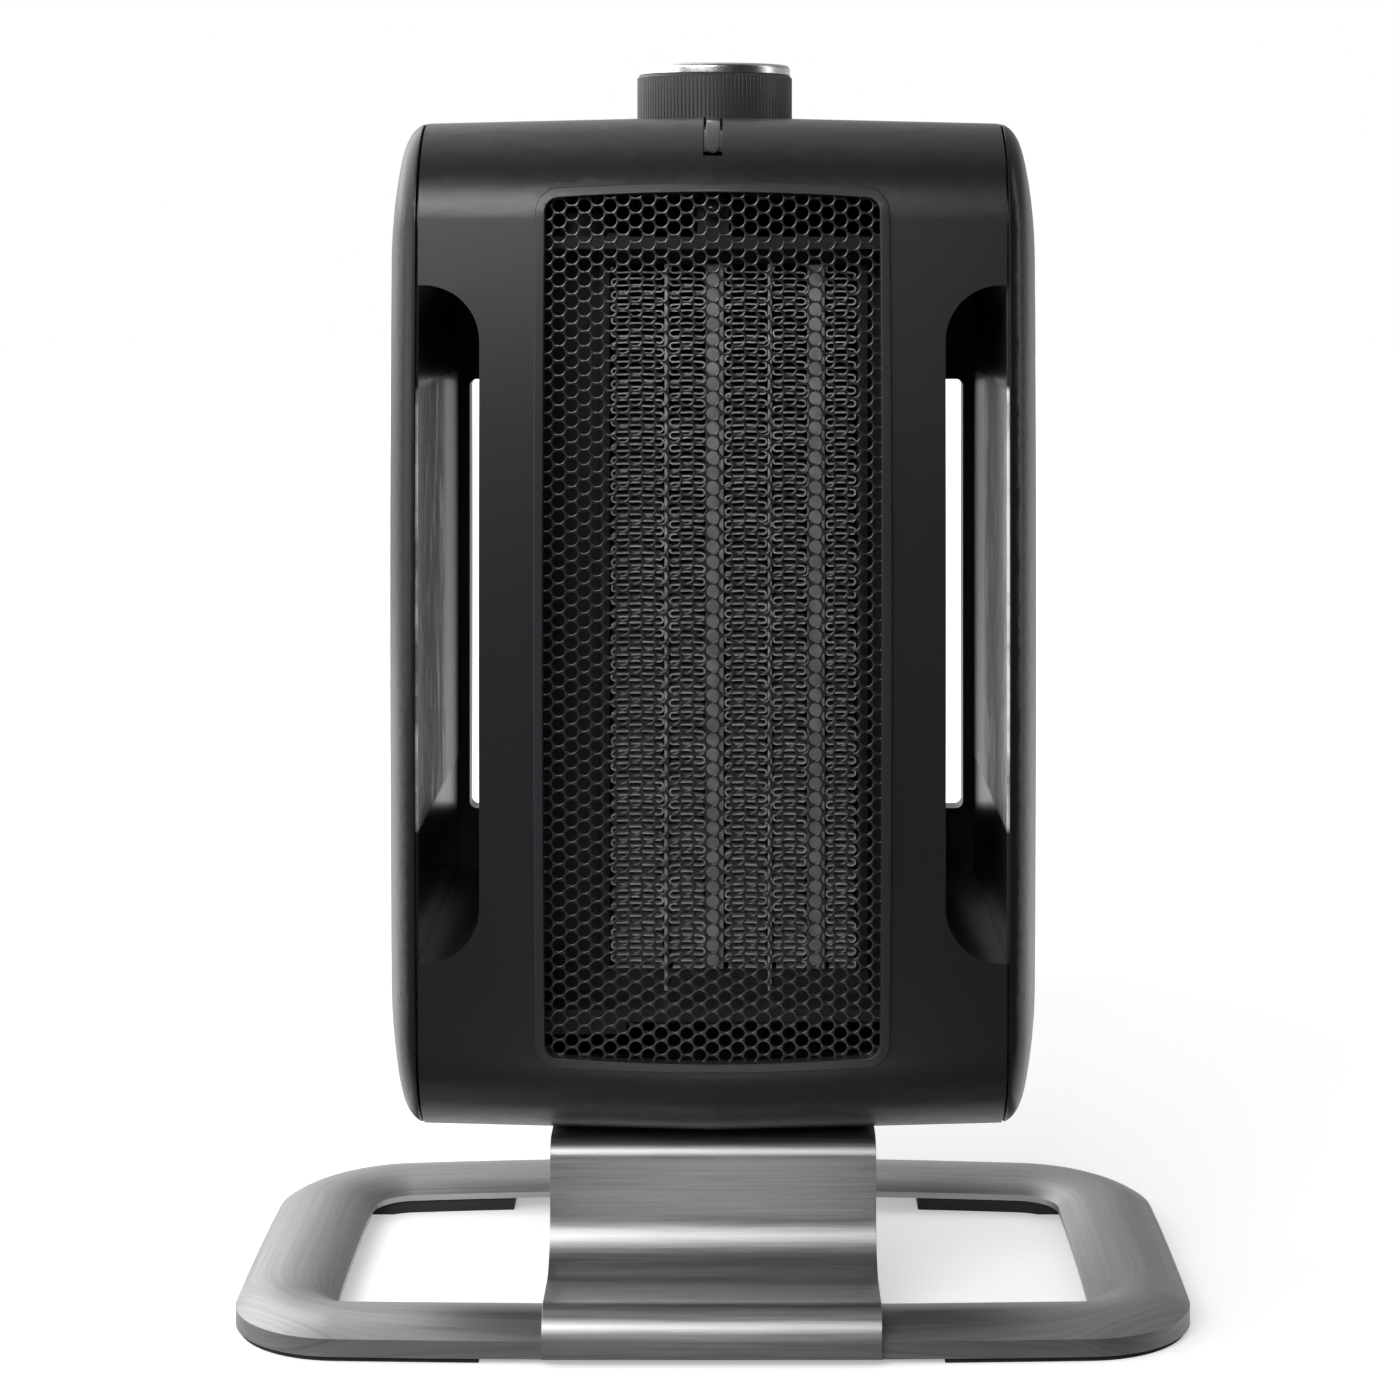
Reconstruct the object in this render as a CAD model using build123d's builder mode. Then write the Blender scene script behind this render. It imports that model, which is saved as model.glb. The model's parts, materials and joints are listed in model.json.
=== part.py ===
from build123d import *
import math
import os

# Upright ceramic fan heater on a flat ring stand. Millimetres, +Z up, the front faces -Y.
# The origin is on the table, under the middle of the ring stand.

os.makedirs("parts", exist_ok=True)

# Ring stand
BASE_WIDTH = 242.0
BASE_DEPTH = 150.0
BASE_FRONT_CORNER = 29.0
BASE_BACK_CORNER = 37.0
BASE_FRONT_BOW = 3.5
BASE_BACK_BOW = 9.0
BASE_SIDE_BOW = 1.0
RING_TUBE = 25.5
RING_SKIN = 1.4
RING_CREST = 9.6
RING_CREST_IN = 12.5
RING_SKIRT_LOW = 1.3
RING_SKIRT_TOP = 5.7
RING_INNER_TOP = 5.2
RING_INNER_LOW = 3.6

# Rubber corner pads under the ring
PAD_REACH_X = 57.0
PAD_REACH_Y = 44.0
PAD_INSET = 1.0
PAD_LIP = 0.5

# Brushed steel strap from the ring up to the casing
STRAP_WIDTH = 83.0
STRAP_SHEET = 1.5
STRAP_GAP = 0.2
STRAP_SKIRT_LOW = 1.9
STRAP_SKIRT_TOP = 6.2
STRAP_SHOULDER = 13.1
STRAP_SHOULDER_FRONT = -68.0
STRAP_FOOT_RADIUS = 14.0
STRAP_RISER_Y = -40.0
STRAP_BEND = 4.5
STRAP_FLANGE_END = 30.0

# Saddle, studs and nuts between the ring and the strap
SADDLE_WIDTH = 76.0
SADDLE_FRONT = -70.0
SADDLE_BACK = -54.5
SADDLE_LOW = 5.0
STUD_X = 28.0
STUD_Y = -62.0
STUD_RADIUS = 2.0
STUD_LOW = 2.6
STUD_CLEARANCE = 0.25
NUT_RADIUS = 4.0
NUT_HEIGHT = 2.6

# Casing
CASE_DEPTH = 132.0
CASE_HEIGHT = 261.4
CASE_Y = 4.0
CASE_LOW = 45.2
CASE_CORNER = 28.0
FRONT_BOW = 5.0
TOP_BOW = 2.5
SHELL_HALF = 73.4
DRAFT = 1.7
WALL = 2.2
PANEL_GAP = 0.3

# Air slots between the duct and the side covers
DUCT_HALF = 58.0
SLOT_LOW = 94.0
SLOT_HIGH = 263.0
SLOT_CORNER = 14.0
SLOT_STEP_Y = 59.0
MOUTH_LOW = 111.5
MOUTH_HIGH = 234.0
MOUTH_POST = 3.0
MOUTH_CORNER = 2.0

# Side covers and the liners behind them
LINER_SHEET = 1.5
LINER_INSET = 2.5
COVER_GAP = 0.6
COVER_BULGE = 8.9
COVER_WALL = 2.0
COVER_SHOULDER = 33.0
COVER_STATIONS = (0.0, 0.35, 0.65, 0.86, 0.97, 1.0)
COVER_CORNER_SHARE = 0.5
CLIP_POINTS = ((10.0, 287.0), (-14.0, 63.0), (27.0, 63.0))
CLIP_THICK = 2.0
CLIP_WIDTH = 9.0
CLIP_REACH = 3.6
CLIP_BARB = 1.4
CLIP_ROOT = 6.6

# Front bezel and honeycomb guard
BEZEL_WIDTH = 89.0
BEZEL_LOW = 66.8
BEZEL_HIGH = 288.6
BEZEL_RIM = 2.4
BEZEL_LAP = 1.2
BEZEL_PROUD = 1.0
BEZEL_NECK = 3.4
BEZEL_CORNER = 6.0
BEZEL_END_BOW = 1.6
BEZEL_SIDE_BOW = 0.4
GUARD_LAP = 1.0
GUARD_SHEET = 1.6
GUARD_BORDER = 2.6
CELL_PITCH = 8.6
CELL_WEB = 1.2

# Rear intake guard
INTAKE_WIDTH = 92.0
INTAKE_LOW = 92.0
INTAKE_HIGH = 262.0
INTAKE_CORNER = 6.0
INTAKE_LAP = 1.6
INTAKE_SUNK = 0.4
INTAKE_SHEET = 1.8
LOUVRE_HEIGHT = 3.4
LOUVRE_PITCH = 6.6
LOUVRE_BORDER = 5.0
LOUVRE_RIB = 5.0
LOUVRE_SLANT = 1.3

# Floor and ceiling of the air duct
DECK_SHEET = 3.0
DECK_FRONT = -48.0
DECK_BACK = 58.0
FLOOR_LOW = 77.0
CEILING_LOW = 272.0
LEDGE_DEPTH = 5.0
LEDGE_HEIGHT = 3.0
LEDGE_LENGTH = 40.0

# Ceramic heating element
ELEMENT_LEFT = -29.6
ELEMENT_FRONT = -32.0
ELEMENT_DEPTH = 16.0
ELEMENT_LOW = 86.6
ELEMENT_HIGH = 268.0
RAIL_WIDTH = 3.0
PLATE_WIDTH = 1.0
BAR_WIDTH = 4.6
FIN_WIDTHS = (14.0, 9.7, 11.3, 9.1, 8.2)
FIN_COUNT = 25
FIN_SKIN = 0.5
HOLDER_SETBACK = 1.5
TAB_DROP = 5.6
FRAME_SHEET = 3.0
FRAME_Y = -26.0

# Crossflow fan
FAN_X = 5.0
FAN_Y = 22.0
FAN_RADIUS = 25.0
FAN_BLADE_DEPTH = 6.5
FAN_BLADE_SHEET = 1.0
FAN_BLADE_PITCH_ANGLE = 35.0
FAN_BLADES = 24
FAN_LOW = 84.0
FAN_HIGH = 264.0
FAN_RING_SHEET = 1.5
FAN_SECTIONS = 3
HUB_RADIUS = 6.0
HUB_LENGTH = 8.0
SHAFT_RADIUS = 2.5
SHAFT_LOW = 51.2
RUNNING_CLEARANCE = 0.05
BUSH_RADIUS = 5.0
BUSH_LENGTH = 5.5
SCROLL_SHEET = 1.2
SCROLL_SPACE = 30.0

# Shaded pole motor under the duct floor
CORE_LEFT = -17.0
CORE_RIGHT = 47.0
CORE_HALF_DEPTH = 20.0
CORE_LOW = 56.0
CORE_HIGH = 68.0
AIR_GAP = 0.5
ROTOR_RADIUS = 12.0
WINDOW_LEFT = 21.0
WINDOW_RIGHT = 36.0
WINDOW_MARGIN = 7.0
COIL_THICK = 4.4
COIL_GAP = 0.2
YOKE_SHEET = 2.0
YOKE_HALF_DEPTH = 8.0
YOKE_LIFT = 3.0
YOKE_RIGHT = 20.5
MOTOR_BOLT_RADIUS = 1.6
MOTOR_BOSS_RADIUS = 4.0
MOTOR_BOLT_INSET = 4.0

# Rotary switch, knob and cap
KNOB_Y = 4.0
SEAT_RADIUS = 10.0
SEAT_TOP = 305.6
SEAT_LOW = 302.0
SWITCH_SIZE = 32.0
SWITCH_LOW = 280.0
SWITCH_HIGH = 298.0
SWITCH_COLLAR = 9.0
NECK_RADIUS = 4.8
NECK_CLEARANCE = 0.2
NECK_TOP = 309.0
SPINDLE_RADIUS = 3.0
SPINDLE_LOW = 290.0
SPINDLE_TOP = 315.0
SWITCH_NUT_RADIUS = 8.0
SWITCH_NUT_HEIGHT = 2.4
KNOB_RADIUS = 20.75
KNOB_LOW = 306.2
KNOB_HIGH = 318.0
KNOB_WALL = 2.4
KNOB_ROOF = 2.6
KNOB_HUB_RADIUS = 5.5
KNOB_HUB_LOW = 310.0
KNOB_CLEARANCE = 0.7
KNOB_GROOVES = 120
KNOB_GROOVE_RADIUS = 0.2
KNOB_EDGE = 0.7
CAP_RADIUS = 20.2
CAP_EDGE = 1.5
CAP_ROUND = 1.2
CAP_DOME = 0.5
CAP_SPIGOT_RADIUS = 15.0
CAP_SPIGOT = 1.4

# Pilot light
LENS_WIDTH = 3.5
LENS_GAP = 0.7
LENS_LOW = 296.1
LENS_BACK = -18.6
LENS_FLANGE = 2.4
LENS_FLANGE_SHEET = 1.2
LAMP_RADIUS = 2.4
LAMP_LENGTH = 16.0
LAMP_Y = -40.0
LAMP_Z = 282.0
LAMP_HOLDER_WIDTH = 8.0
LAMP_HOLDER_LENGTH = 10.0

# Safety parts and terminals
CUTOUT_X = -34.0
CUTOUT_Y = -35.0
CUTOUT_RADIUS = 8.0
CUTOUT_HEIGHT = 6.0
CUTOUT_TAB = 8.0
TERMINAL_X = -36.0
TERMINAL_Y = -14.0
TERMINAL_LENGTH = 26.0
TERMINAL_DEPTH = 13.0
TERMINAL_HEIGHT = 10.0
TERMINAL_WAYS = 3
TERMINAL_HOLE = 1.8
TILT_X = -50.0
TILT_Y = 16.0
TILT_WIDTH = 16.0
TILT_DEPTH = 14.0
TILT_CHEEK = 2.0
TILT_PIVOT_Z = 70.5
TILT_PIN_RADIUS = 1.0
TILT_HUB_RADIUS = 2.2
TILT_BOB_RADIUS = 5.0
TILT_BOB_Z = 60.0
TILT_BOB_LENGTH = 9.0

# Cord inlet gland at the back
GLAND_X = 60.0
GLAND_Z = 68.5
GLAND_RADIUS = 5.6
GLAND_FLANGE = 8.0
GLAND_FLANGE_SHEET = 2.4
GLAND_BORE = 3.6
GLAND_NUT_SHEET = 2.6
GLAND_CLEARANCE = 0.15

# Screws
CASE_SCREWS = ((-22.0, 287.0), (42.0, 287.0), (-34.0, 61.0), (48.0, 60.0))
CASE_BOSS_RADIUS = 4.2
CASE_SCREW_RADIUS = 1.6
CASE_SCREW_HEAD = 3.2
CASE_SCREW_HEAD_HEIGHT = 2.4
CASE_SCREW_SEAT = 14.0
CASE_SCREW_REACH = 12.0
SCREW_CLEARANCE = 0.3
FLANGE_SCREWS_X = 26.0
FLANGE_SCREWS_Y = 15.0
FLANGE_SCREW_RADIUS = 1.8
FLANGE_HEAD_RADIUS = 3.6
FLANGE_HEAD_HEIGHT = 2.2
FLANGE_BOSS_RADIUS = 3.7
FLANGE_BOSS_HIGH = 54.0
FLANGE_PAD_HALF = 38.0

# Values worked out from the driving dimensions
CASE_HIGH = CASE_LOW + CASE_HEIGHT
CASE_Z = CASE_LOW + CASE_HEIGHT / 2
CASE_FRONT = CASE_Y - CASE_DEPTH / 2
CASE_BACK = CASE_Y + CASE_DEPTH / 2
PAST = 5.0
STRAP_FACE = -BASE_DEPTH / 2 - STRAP_GAP - STRAP_SHEET
FLANGE_LOW = CASE_LOW - STRAP_SHEET
FLOOR_TOP = FLOOR_LOW + DECK_SHEET
CEILING_TOP = CEILING_LOW + DECK_SHEET
DECK_HALF = SHELL_HALF - WALL - PANEL_GAP
ELEMENT_WIDTH = 2 * (RAIL_WIDTH + PLATE_WIDTH + BAR_WIDTH) + sum(FIN_WIDTHS)
ELEMENT_RIGHT = ELEMENT_LEFT + ELEMENT_WIDTH
ELEMENT_BACK = ELEMENT_FRONT + ELEMENT_DEPTH
BEZEL_Z = (BEZEL_LOW + BEZEL_HIGH) / 2
BEZEL_HEIGHT = BEZEL_HIGH - BEZEL_LOW
INTAKE_Z = (INTAKE_LOW + INTAKE_HIGH) / 2
INTAKE_HEIGHT = INTAKE_HIGH - INTAKE_LOW
CORE_Z = (CORE_LOW + CORE_HIGH) / 2
CORE_HEIGHT = CORE_HIGH - CORE_LOW


# Outlines and planes that several pieces share
def bowed_rectangle(width, height, side_bow, end_bow, corner):
    """Draw a rounded rectangle with bulging sides and ends in the current sketch."""
    x, y = width / 2, height / 2
    corner_x, corner_y = x - side_bow, y - end_bow
    with BuildLine() as outline:
        ThreePointArc((-corner_x, -corner_y), (0, -y), (corner_x, -corner_y))
        ThreePointArc((corner_x, -corner_y), (x, 0), (corner_x, corner_y))
        ThreePointArc((corner_x, corner_y), (0, y), (-corner_x, corner_y))
        ThreePointArc((-corner_x, corner_y), (-x, 0), (-corner_x, -corner_y))
    make_face(outline.edges())
    fillet(vertices(), corner)


def side_plane(x):
    """Plane across the casing's width: local x is depth and local y is height."""
    return Plane(origin=(x, CASE_Y, CASE_Z), x_dir=(0, 1, 0), z_dir=(1, 0, 0))


def profile_plane(x):
    """Plane across the width with local x along Y and local y along Z, from the origin."""
    return Plane(origin=(x, 0, 0), x_dir=(0, 1, 0), z_dir=(1, 0, 0))


def front_plane(y):
    """Upright plane that faces the front: local x is X and local y is Z."""
    return Plane(origin=(0, y, 0), x_dir=(1, 0, 0), z_dir=(0, -1, 0))


def case_outline(inset, corner_share=1.0):
    """Draw the casing's side outline, moved inwards by inset, in the current sketch."""
    bowed_rectangle(CASE_DEPTH - 2 * inset, CASE_HEIGHT - 2 * inset, FRONT_BOW, TOP_BOW,
                    CASE_CORNER - corner_share * inset)


def half_block(side, inset, half_width):
    """One half of the casing as a solid block, from the seam to half_width, moved inwards by inset."""
    with BuildPart() as block:
        with BuildSketch(side_plane(0)):
            case_outline(inset)
        with BuildSketch(side_plane(side * half_width)):
            case_outline(inset + DRAFT * half_width / SHELL_HALF)
        loft()
    return block.part


def skin_layer(outer_inset, inner_inset):
    """A layer of the whole casing's skin between two insets, cut to nothing at the sides."""
    with BuildPart() as layer:
        for side in (-1, 1):
            add(half_block(side, outer_inset, SHELL_HALF))
        for side in (-1, 1):
            add(half_block(side, inner_inset, SHELL_HALF), mode=Mode.SUBTRACT)
    return layer.part


def front_prism(width, low, high, corner, y_front, y_back):
    """A prism along Y with the bezel's bowed outline."""
    with BuildPart() as prism:
        with BuildSketch(front_plane(y_back)):
            with Locations((0, (low + high) / 2)):
                Rectangle(width, high - low)
            fillet(vertices(), corner)
        extrude(amount=y_back - y_front)
    return prism.part


def bezel_prism(shrink):
    """A prism along Y through the front of the casing with the bezel's outline, made smaller by shrink."""
    outline_plane = Plane(origin=(0, ELEMENT_FRONT, BEZEL_Z), x_dir=(1, 0, 0), z_dir=(0, -1, 0))
    with BuildPart() as prism:
        with BuildSketch(outline_plane):
            bowed_rectangle(BEZEL_WIDTH - 2 * shrink, BEZEL_HEIGHT - 2 * shrink,
                            BEZEL_SIDE_BOW, BEZEL_END_BOW, BEZEL_CORNER - shrink)
        extrude(amount=ELEMENT_FRONT - CASE_FRONT + PAST)
    return prism.part


def save(part, name):
    """Label a finished piece and write it to its own file."""
    part.label = name
    export_step(part, f"parts/{name}.step")


# Ring stand
base_corner_x = BASE_WIDTH / 2 - BASE_SIDE_BOW
base_front_y = BASE_FRONT_BOW - BASE_DEPTH / 2
base_back_y = BASE_DEPTH / 2 - BASE_BACK_BOW
with BuildSketch() as base_plan:
    with BuildLine():
        ThreePointArc((-base_corner_x, base_front_y), (0, -BASE_DEPTH / 2), (base_corner_x, base_front_y))
        ThreePointArc((base_corner_x, base_front_y), (BASE_WIDTH / 2, 0), (base_corner_x, base_back_y))
        ThreePointArc((base_corner_x, base_back_y), (0, BASE_DEPTH / 2), (-base_corner_x, base_back_y))
        ThreePointArc((-base_corner_x, base_back_y), (-BASE_WIDTH / 2, 0), (-base_corner_x, base_front_y))
    make_face()
    fillet(vertices().group_by(Axis.Y)[0], BASE_FRONT_CORNER)
    fillet(vertices().group_by(Axis.Y)[-1], BASE_BACK_CORNER)
ring_path = base_plan.sketch.faces()[0].outer_wire()
ring_start = ring_path @ 0
ring_tangent = ring_path % 0
ring_inward = Vector(0, 0, 1).cross(ring_tangent)
if ring_inward.dot(ring_start) > 0:
    ring_inward = -ring_inward
ring_section_plane = Plane(origin=ring_start, x_dir=ring_inward,
                           z_dir=ring_inward.cross(Vector(0, 0, 1)))


def ring_dome(inset, low, inner_low):
    """Draw the ring's domed section, moved inwards by inset, in the current sketch."""
    with BuildLine() as section:
        Line((inset, low), (inset, RING_SKIRT_TOP - 0.5 * inset))
        ThreePointArc((inset, RING_SKIRT_TOP - 0.5 * inset), (RING_CREST_IN, RING_CREST - inset),
                      (RING_TUBE - inset, RING_INNER_TOP - 0.5 * inset))
        Line((RING_TUBE - inset, RING_INNER_TOP - 0.5 * inset), (RING_TUBE - inset, inner_low))
        Line((RING_TUBE - inset, inner_low), (inset, low))
    make_face(section.edges())


with BuildPart() as ring_block:
    with BuildSketch(ring_section_plane):
        ring_dome(0, RING_SKIRT_LOW, RING_INNER_LOW)
    sweep(path=ring_path)

with BuildPart() as ring_hollow:
    with BuildSketch(ring_section_plane):
        ring_dome(RING_SKIN, RING_SKIRT_LOW - RING_SKIN, RING_INNER_LOW - RING_SKIN)
    sweep(path=ring_path)

with BuildPart() as base_ring:
    add(ring_block.part)
    add(ring_hollow.part, mode=Mode.SUBTRACT)
    with BuildSketch():
        with Locations((-STUD_X, STUD_Y), (STUD_X, STUD_Y)):
            Circle(STUD_RADIUS + STUD_CLEARANCE)
    extrude(amount=RING_CREST + PAST, mode=Mode.SUBTRACT)
save(base_ring.part, "base_ring")

# Rubber pads fill the ring's channel at the corners and stand on the table
with BuildPart() as base_feet:
    with BuildSketch(ring_section_plane):
        with BuildLine():
            Polyline((PAD_INSET, 0), (RING_TUBE - PAD_INSET, 0),
                     (RING_TUBE - PAD_INSET, RING_INNER_LOW - PAD_LIP),
                     (RING_TUBE - 2 * RING_SKIN, RING_INNER_LOW - PAD_LIP),
                     (RING_TUBE - 2 * RING_SKIN, RING_INNER_LOW),
                     (2 * RING_SKIN, RING_INNER_LOW),
                     (2 * RING_SKIN, RING_SKIRT_LOW - PAD_LIP),
                     (PAD_INSET, RING_SKIRT_LOW - PAD_LIP),
                     close=True)
        make_face()
    sweep(path=ring_path)
    with BuildSketch():
        Rectangle(2 * PAD_REACH_X, BASE_DEPTH)
        Rectangle(BASE_WIDTH, 2 * PAD_REACH_Y)
    extrude(amount=RING_CREST, mode=Mode.SUBTRACT)
save(base_feet.part, "base_feet")

# Steel strap
strap_front = STRAP_FACE + STRAP_SHEET / 2
strap_foot = STRAP_RISER_Y - STRAP_FOOT_RADIUS
strap_flange = CASE_LOW - STRAP_SHEET / 2
foot_middle = STRAP_FOOT_RADIUS * (1 - math.sqrt(0.5))
bend_middle = STRAP_BEND * (1 - math.sqrt(0.5))
with BuildPart() as strap:
    with BuildSketch(profile_plane(-STRAP_WIDTH / 2)):
        with BuildLine():
            Line((strap_front, STRAP_SKIRT_LOW), (strap_front, STRAP_SKIRT_TOP))
            TangentArc((strap_front, STRAP_SKIRT_TOP), (STRAP_SHOULDER_FRONT, STRAP_SHOULDER),
                       tangent=(0, 1))
            Line((STRAP_SHOULDER_FRONT, STRAP_SHOULDER), (strap_foot, STRAP_SHOULDER))
            ThreePointArc((strap_foot, STRAP_SHOULDER),
                          (STRAP_RISER_Y - foot_middle, STRAP_SHOULDER + foot_middle),
                          (STRAP_RISER_Y, STRAP_SHOULDER + STRAP_FOOT_RADIUS))
            Line((STRAP_RISER_Y, STRAP_SHOULDER + STRAP_FOOT_RADIUS),
                 (STRAP_RISER_Y, strap_flange - STRAP_BEND))
            ThreePointArc((STRAP_RISER_Y, strap_flange - STRAP_BEND),
                          (STRAP_RISER_Y + bend_middle, strap_flange - bend_middle),
                          (STRAP_RISER_Y + STRAP_BEND, strap_flange))
            Line((STRAP_RISER_Y + STRAP_BEND, strap_flange), (STRAP_FLANGE_END, strap_flange))
        trace(line_width=STRAP_SHEET)
    extrude(amount=STRAP_WIDTH)
    with BuildSketch(Plane.XY.offset(FLANGE_LOW - 1)):
        with GridLocations(2 * FLANGE_SCREWS_X, 2 * FLANGE_SCREWS_Y, 2, 2):
            Circle(FLANGE_SCREW_RADIUS + SCREW_CLEARANCE)
    extrude(amount=STRAP_SHEET + 2, mode=Mode.SUBTRACT)
save(strap.part, "strap")

shoulder_low = STRAP_SHOULDER - STRAP_SHEET / 2
with BuildPart() as strap_saddle:
    with BuildSketch(profile_plane(-SADDLE_WIDTH / 2)):
        with BuildLine():
            Polyline((SADDLE_FRONT, SADDLE_LOW), (SADDLE_BACK, SADDLE_LOW), (SADDLE_BACK, shoulder_low),
                     (STRAP_SHOULDER_FRONT, shoulder_low), (SADDLE_FRONT, shoulder_low - 1),
                     close=True)
        make_face()
    extrude(amount=SADDLE_WIDTH)
    add(ring_block.part, mode=Mode.SUBTRACT)
    with BuildSketch():
        with Locations((-STUD_X, STUD_Y), (STUD_X, STUD_Y)):
            Circle(STUD_RADIUS + STUD_CLEARANCE)
    extrude(amount=STRAP_SHOULDER, mode=Mode.SUBTRACT)
save(strap_saddle.part, "strap_saddle")

with BuildPart() as strap_studs:
    with BuildSketch(Plane.XY.offset(STUD_LOW)):
        with Locations((-STUD_X, STUD_Y), (STUD_X, STUD_Y)):
            Circle(STUD_RADIUS)
    extrude(amount=shoulder_low - STUD_LOW)
save(strap_studs.part, "strap_studs")

nut_top = RING_CREST - RING_SKIN - 2 * STUD_CLEARANCE
with BuildPart() as strap_nuts:
    with BuildSketch(Plane.XY.offset(nut_top - NUT_HEIGHT)):
        with Locations((-STUD_X, STUD_Y), (STUD_X, STUD_Y)):
            RegularPolygon(NUT_RADIUS, 6)
            Circle(STUD_RADIUS, mode=Mode.SUBTRACT)
    extrude(amount=NUT_HEIGHT)
save(strap_nuts.part, "strap_nuts")


# Casing shells
def slot_block(side, grow):
    """The air slot beside the duct, from the front to its rear step, grown outwards by grow."""
    inner = DUCT_HALF - grow
    outer = SHELL_HALF + PAST
    back = SLOT_STEP_Y + grow
    with BuildPart() as slot:
        with BuildSketch(front_plane(back)):
            with Locations((side * (inner + outer) / 2, (SLOT_LOW + SLOT_HIGH) / 2)):
                Rectangle(outer - inner, SLOT_HIGH - SLOT_LOW + 2 * grow)
            inner_corners = vertices().group_by(Axis.X)[0 if side > 0 else -1]
            fillet(inner_corners, SLOT_CORNER + grow)
        extrude(amount=back - CASE_FRONT + PAST)
    return slot.part


def mouth_block(side, grow):
    """The slot's rear mouth behind the step, grown outwards by grow."""
    inner = DUCT_HALF - grow
    outer = SHELL_HALF + PAST if grow else SHELL_HALF - MOUTH_POST
    front = SLOT_STEP_Y - (0 if grow else 1)
    with BuildPart() as mouth:
        with BuildSketch(front_plane(CASE_BACK + PAST)):
            with Locations((side * (inner + outer) / 2, (MOUTH_LOW + MOUTH_HIGH) / 2)):
                Rectangle(outer - inner, MOUTH_HIGH - MOUTH_LOW + 2 * grow)
            fillet(vertices(), MOUTH_CORNER)
        extrude(amount=CASE_BACK + PAST - front)
    return mouth.part


def flange_screw_places(side):
    """Where the two flange screws enter one half of the casing."""
    return [(side * FLANGE_SCREWS_X, y) for y in (FLANGE_SCREWS_Y, -FLANGE_SCREWS_Y)]


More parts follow.
